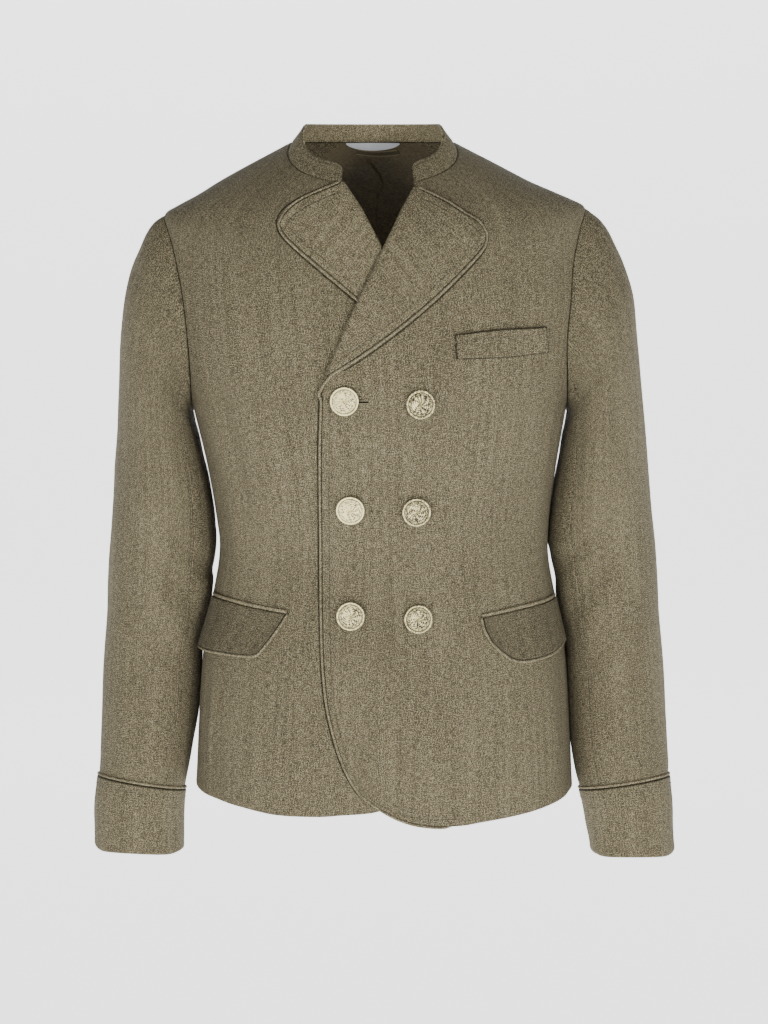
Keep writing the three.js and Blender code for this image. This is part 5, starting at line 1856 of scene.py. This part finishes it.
# %% Line the neck
LINING = {"cloth": 1, "gap": 0.9, "from": 120, "to": 240, "top": -0.5, "bottom": -215}
LINING_OUT = -(CLOTH + LINING["gap"])
LINING_FACE = LINING_OUT - LINING["cloth"] - LAY - 0.2
PLEAT = {"out": 1.4}
NECK_LIFT = 2.6
PLEAT_EDGE = [
    (-215, 180.5), (-112, 180.2), (-54, 179), (-40, 176.6), (-31, 177.6), (-18, 181.4), (0, 182),
]
pleat_edge = through_pairs(PLEAT_EDGE)
angle, z = np.meshgrid(
    np.linspace(LINING["from"], LINING["to"], 320), np.linspace(LINING["bottom"], LINING["top"], 110)
)
# The facing of the fronts shows as a triangle on each side of the label
away = np.abs(angle - 180)
reach = np.where(angle > 180, 24 - z * 0.46, 37)
beside = np.radians(angle - pleat_edge(z)) * body["width"](z)
pleat = PLEAT["out"] * smooth(beside / 0.9 + 0.5) * np.exp(-np.maximum(beside, 0) / 22)
pleat = pleat * smooth((-16 - z) / 5)
lift = np.stack([z * 0, z * 0, NECK_LIFT * np.exp(z / 9)], -1)
soft = 0.5 + 0.5 * np.sin(np.radians(angle) * 14 + z / 22) * np.sin(z / 31)
out = angle * 0 + LINING_OUT
points = body_at(angle, z, out) + lift
put(
    "back_lining_satin", points, body_at(angle, z, out - LINING["cloth"] - pleat - 0.3 * soft) + lift,
    grain_of(points), [satin, collar_linen], "lining", ["back_lining"],
    inner_kind=np.where(away > reach, 1, 0)[:-1, :-1],
)

# %% [markdown]
# ## Label and hanger loop
#
# A white label is sewn in below the neck seam, with a curved lower edge, and the jacket hangs by a
# band under it. Painted on the lining, they would have no edge that catches light. So both are thin
# walls just inside it. The label stays blank.

# %% Sew in label and loop
LABEL = {"from": 160, "to": 200, "top": -0.4, "least": 0.3, "drop": 7.6, "end": 0.004, "cloth": 0.5}
LOOP = {"from": 164, "to": 190, "z": -9.4, "sag": 2.2, "wide": 5.5, "cloth": 1.2}


def inside_neck(name, angle, z, cloth, materials, slot, node, uv=None):
    """A thin wall that lies on the inner face of the lining."""
    face = angle * 0 + LINING_FACE
    points = body_at(angle, z, face) + [0, 0, NECK_LIFT]
    under = body_at(angle, z, face - cloth) + [0, 0, NECK_LIFT]
    put(name, points, under, grain_of(points) if uv is None else uv(points), materials, slot, [node])


u = np.linspace(0, 1, 60)
arch = np.sin(np.pi * mix(LABEL["end"], 1 - LABEL["end"], u)) ** 0.75
v = np.linspace(1, 0, 10)[:, None]
z = LABEL["top"] - v * (LABEL["least"] + LABEL["drop"] * arch)
angle = np.repeat(mix(LABEL["from"], LABEL["to"], u)[None], 10, 0)
inside_neck(
    "neck_label_cloth", angle, z, LABEL["cloth"], [label_white], "label", "neck_label",
)
v = np.linspace(-1, 1, 11)[:, None]
z = LOOP["z"] - LOOP["sag"] * np.sin(np.pi * u) + v * LOOP["wide"] / 2
angle = np.repeat(mix(LOOP["from"], LOOP["to"], u)[None], 11, 0)
inside_neck(
    "hanger_loop_band", angle, z, LOOP["cloth"], [band], "lining", "hanger_loop",
    uv=lambda points: np.stack([edge_distances(points)[0], np.repeat(v, 60, 1) * MM], -1),
)

# %% [markdown]
# ## Relief of a button
#
# Each button is a stamped metal disc with a raised rim, a ring of beads and a worn blossom in low
# relief. An image would stay flat at the edge. So the relief is worked out from the turn and the
# distance from the middle, moves the points, and is stored as `relief` for the metal.

# %% Stamp the relief
# How much each button's colour is brightened, the top two of the wearer's right most
BUTTON_BRIGHTEN = [0.46, 0.46, 0.18, -0.08, -0.06, -0.02]
profile = np.array([
    [0, 0], [4, 0], [4, 1.4], [8, 1.5], [12.4, 1.6], [13.4, 2.0], [14, 2.6], [14.1, 3.3], [13.9, 3.9],
    [13.5, 4.2], [12.9, 4.3], [12.4, 4.15], [12.0, 3.75],
])
face_radius = np.concatenate([np.linspace(11.8, 0.6, 34), [0.25, 0]])
turns = np.linspace(0, 2 * np.pi, 96, endpoint=False)


def button_relief(index, r, t, on_face):
    beads = np.exp(-(((r - 10.8) / 0.5) ** 2)) * (0.5 + 0.5 * np.cos(44 * t))
    line = np.exp(-(((r - 9.7) / 0.28) ** 2))
    petals = np.sin(9 * t + 1.3 * r + 2 * np.sin(2 * t + index))
    veins = petals * np.sin(1.9 * r + 1.5 * np.sin(3 * t + index))
    leaf = smooth(0.5 + 1.6 * np.cos(t - 1.9 - 0.12 * r) - 0.05 * r)
    field = smooth((9.2 - r) / 0.8)
    groove = np.exp(-(((r - 11.9) / 0.45) ** 2))
    relief = beads + line * 0.7 + field * (0.35 + 0.85 * veins + 0.3 * leaf) - 0.7 * groove
    return relief * on_face + BUTTON_BRIGHTEN[index] * on_face

# %% [markdown]
# ## Buttons
#
# Six buttons stand on their shanks in two columns. Each is turned from a half section, from its
# shank to the middle of its face, and set along the normal of the cloth below it. They are one
# object of metal, because none of them moves.

# %% Set the buttons
BUTTONS = [
    (-37.5, -246.4), (-32.1, -352.6), (-32.3, -458.4), (34.6, -249.4), (31.1, -354.6),
    (33.2, -461.3),
]
RELIEF_HEIGHT = 0.4


def button_mesh(index, angle, z):
    spin = index * 0.83
    radius = np.concatenate([profile[:, 0], face_radius])
    height = np.concatenate([profile[:, 1], 3.7 + 0.9 * (1 - (face_radius / 12) ** 2)])
    r, t = np.meshgrid(radius, turns + spin, indexing="ij")
    h = np.repeat(height[:, None], len(turns), 1)
    on_face = np.repeat((np.arange(len(radius)) >= len(profile))[:, None], len(turns), 1)
    relief = button_relief(index, r, t, on_face)
    h = h + RELIEF_HEIGHT * relief
    bright = np.where(on_face, relief, (0.75 + BUTTON_BRIGHTEN[index]) * (h > 3.4) * (r < 13.7))
    x, y = r * np.cos(t), r * np.sin(t)
    normal = body_normal(angle, z)
    origin = body_at(angle, z, front_out(1, angle, z) + SEAT_GAP)
    turn = Vector((0, 0, 1)).rotation_difference(Vector(normal)).to_matrix()
    points = np.stack([x, y, h], -1).reshape(-1, 3) @ np.array(turn).T + origin
    count = len(turns)
    number = np.arange(len(points)).reshape(len(radius), count)
    number = np.concatenate([number, number[:, :1]], 1)[1:-1]
    quads = np.stack([number[:-1, :-1], number[:-1, 1:], number[1:, 1:], number[1:, :-1]], -1)
    faces = quads.reshape(-1, 4).tolist()
    faces.append(number[0, :-1][::-1].tolist())
    faces.append(number[-1, :-1].tolist())
    return points, faces, bright.ravel()


points, faces, bright = [], [], []
for index, (x, z) in enumerate(BUTTONS):
    p, f, b = button_mesh(index, angle_at(x, z), np.float64(z))
    offset = sum(len(q) for q in points)
    points.append(p)
    faces += [[i + offset for i in face] for face in f]
    bright.append(b)
mesh = bpy.data.meshes.new("buttons")
mesh.from_pydata((np.concatenate(points) / MM).tolist(), [], faces)
relief = np.concatenate(bright).astype(np.float32)
mesh.attributes.new("relief", "FLOAT", "POINT").data.foreach_set("value", relief)
finish_piece("buttons_metal", mesh, [metal], [f"button_{i + 1}" for i in range(6)])

# %% [markdown]
# ## Stitches
#
# A stitch is a short thread that dips into the cloth at both ends. Hundreds of them by hand would
# never be even. A Geometry Nodes group sets a slim round thread at even steps along every row that
# was collected, turned along it and a little different in size each time, by a fixed seed.

# %% Sew all rows
def stitch_group():
    group = new_group("Stitch rows", [
        ("Spacing", "Float", 0.0044), ("Stitch length", "Float", 0.0026),
        ("Thread radius", "Float", 0.0005), ("Seed", "Int", 4), ("Material", "Material", None),
    ])
    given = add_node(group, "NodeGroupInput").outputs
    path = add_node(group, "GeometryNodeMeshToCurve", Mesh=given["Lines"])
    along = add_node(
        group, "GeometryNodeCurveToPoints", {"mode": "LENGTH"}, Curve=path.outputs[0],
        Length=given["Spacing"],
    )
    shape = add_node(group, "GeometryNodeMeshUVSphere", Segments=8, Rings=6, Radius=1.0)
    align = add_node(
        group, "FunctionNodeAlignRotationToVector", {"axis": "Z"},
        Vector=along.outputs["Tangent"],
    )
    half = add_node(
        group, "ShaderNodeMath", {"operation": "MULTIPLY"}, given["Stitch length"], 0.5
    )
    size = add_node(
        group, "ShaderNodeCombineXYZ", X=given["Thread radius"], Y=given["Thread radius"],
        Z=half.outputs[0],
    )
    vary = add_node(
        group, "FunctionNodeRandomValue", {"data_type": "FLOAT"}, None, None, 0.88, 1.12,
        Seed=given["Seed"],
    )
    grow = add_node(
        group, "ShaderNodeVectorMath", {"operation": "SCALE"}, size.outputs[0],
        Scale=vary.outputs[1],
    )
    place = add_node(
        group, "GeometryNodeInstanceOnPoints", Points=along.outputs["Points"],
        Instance=shape.outputs["Mesh"], Rotation=align.outputs[0], Scale=grow.outputs[0],
    )
    return finished(group, place, given["Material"])


mesh = grown("stitches", stitch_group(), stitch_lines, Material=thread)
mesh.polygons.foreach_set("use_smooth", np.ones(len(mesh.polygons), bool))
stitches = bpy.data.objects.new("stitches", mesh)
bpy.context.scene.collection.objects.link(stitches)
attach(stitches, "root")
print(len(stitch_lines), "rows,", len(mesh.polygons), "faces")

# %% [markdown]
# ## Buttonhole
#
# The buttonholes are covered by their buttons, apart from the end of one beside the top button. A
# cut through the front would show the inside of its wall. So a cord painted nearly black, as the
# shadow inside the opening, stands for the slit, and two cords of thread for its edges.

# %% Cut the buttonhole
BUTTONHOLE = {"from": -26, "to": -14.5, "z": -247.2, "edge": 1.2, "thread": 0.35, "slit": 0.85}
x = np.linspace(BUTTONHOLE["from"], BUTTONHOLE["to"], 24)
edges = []
for rise in (1, -1):
    z = BUTTONHOLE["z"] + rise * BUTTONHOLE["edge"] + x * 0
    edges.append(on_body(1, np.stack([x, z], -1), 0.2))
cord("buttonhole_edges", edges, [], radius=BUTTONHOLE["thread"], material=thread)
slit = on_body(1, np.stack([x, x * 0 + BUTTONHOLE["z"]], -1), -0.3)
# The slit's cord is painted nearly black, as the shadow inside the opening
cord("buttonhole_slit", [slit], [], radius=BUTTONHOLE["slit"], material=slit_shadow_linen)

# %% [markdown]
# ## Cloth sizes
#
# Cloth is cut flat, and its flat size can't be read off a filled-out shape. Each piece's grain map
# holds it in millimetres, so the size of the cut is the size of that map, and its area is half the
# wall's, which has two faces.

# %% State the cut
# How much of the cut's box a piece may fill at most
FILLED = 0.98
for name, piece in made.items():
    if not name.endswith(("_cloth", "_satin")) or "jetting" in name or "label" in name:
        continue
    mesh = piece.data
    area = sum(polygon.area for polygon in mesh.polygons) / 2
    uv = np.zeros(len(mesh.loops) * 2, np.float32)
    mesh.uv_layers["grain"].data.foreach_get("uv", uv)
    wide, long = np.ptp(uv.reshape(-1, 2), axis=0)
    wide, long = float(wide), float(long)
    size = max(1.0, math.sqrt(area / (wide * long) / FILLED))
    flat = (round(wide * size, 3), round(long * size, 3))
    area = round(min(area, flat[0] * flat[1]), 4)
    print(name, "cut", flat, "m, area", area, "m2")

# %% [markdown]
# ## Floor
#
# The jacket stands before pale paper that bends up behind it, as in a studio, so that no edge shows
# between floor and wall. It shines a little by itself, and the cloth gets light from all round.

# %% Roll out the paper
scene = bpy.context.scene
# Heights and depths in metres: where the floor begins, bends and ends, and how low it lies
PAPER = {"from": -6.0, "bend": 2.2, "radius": 1.5, "top": 5.0, "half": 7.0, "low": 1.15}
PAPER_GLOW = 1.75


def stage_sheet():
    """A floor that bends up into a wall far behind."""
    bend, radius, half = PAPER["bend"], PAPER["radius"], PAPER["half"]
    profile = [(PAPER["from"], 0.0), (bend, 0.0)]
    for a in np.radians(np.arange(6, 91, 6)):
        profile.append((bend + radius * math.sin(a), radius - radius * math.cos(a)))
    profile.append((bend + radius, PAPER["top"]))
    points = [(x, y, z - PAPER["low"]) for y, z in profile for x in (-half, half)]
    faces = [(2 * i, 2 * i + 1, 2 * i + 3, 2 * i + 2) for i in range(len(profile) - 1)]
    mesh = bpy.data.meshes.new("stage")
    mesh.from_pydata(points, [], faces)
    mesh.polygons.foreach_set("use_smooth", np.ones(len(mesh.polygons), bool))
    stage = bpy.data.objects.new("stage", mesh)
    scene.collection.objects.link(stage)
    material, tree, shader = new_material("stage_white", Roughness=0.9, Specular_IOR_Level=0.1)
    shader.inputs["Base Color"].default_value = (0.95, 0.95, 0.95, 1)
    shader.inputs["Emission Color"].default_value = (1, 1, 1, 1)
    shader.inputs["Emission Strength"].default_value = PAPER_GLOW
    mesh.materials.append(material)


stage_sheet()

# %% [markdown]
# ## Light
#
# The photo has soft, even light, a little stronger from the right. One disc of light stands there
# and a larger one low on the left, both in front. Smaller lamps would draw hard shadows under the
# lapels. A dim white world fills what they leave.

# %% Set the lamps
def area_light(name, place, target, size, power, colour=(1, 1, 1)):
    light = bpy.data.lights.new(name, "AREA")
    light.shape, light.size, light.energy, light.color = "DISK", size, power, colour
    lamp = bpy.data.objects.new(name, light)
    lamp.location = place
    way = Vector(target) - Vector(place)
    lamp.rotation_euler = way.to_track_quat("-Z", "Y").to_euler()
    scene.collection.objects.link(lamp)


centre = (0, 0, -0.35)
area_light("key", (1.4, -2.5, 0.0), centre, 0.7, 39)
area_light("fill", (-1.0, -2.7, -0.9), centre, 1.5, 52)
world = bpy.data.worlds.new("studio")
world.use_nodes = True
world.node_tree.nodes["Background"].inputs["Color"].default_value = (1, 1, 1, 1)
world.node_tree.nodes["Background"].inputs["Strength"].default_value = 0.28
scene.world = world

# %% [markdown]
# ## Camera
#
# A long lens keeps the sleeves from looking bent. The camera stands 2.5 m in front, at the height
# of the neck, and looks 8.5 degrees down.

# %% Set the camera
LOOK_DOWN = 8.5
camera_data = bpy.data.cameras.new("camera")
camera_data.sensor_width = 36
camera_data.lens = 87.03
camera = bpy.data.objects.new("camera", camera_data)
camera.location = (0, -2.5, 0)
camera.rotation_euler = (math.radians(90 - LOOK_DOWN), 0, 0)
scene.collection.objects.link(camera)
scene.camera = camera
print("camera", tuple(camera.location), "lens", camera_data.lens)
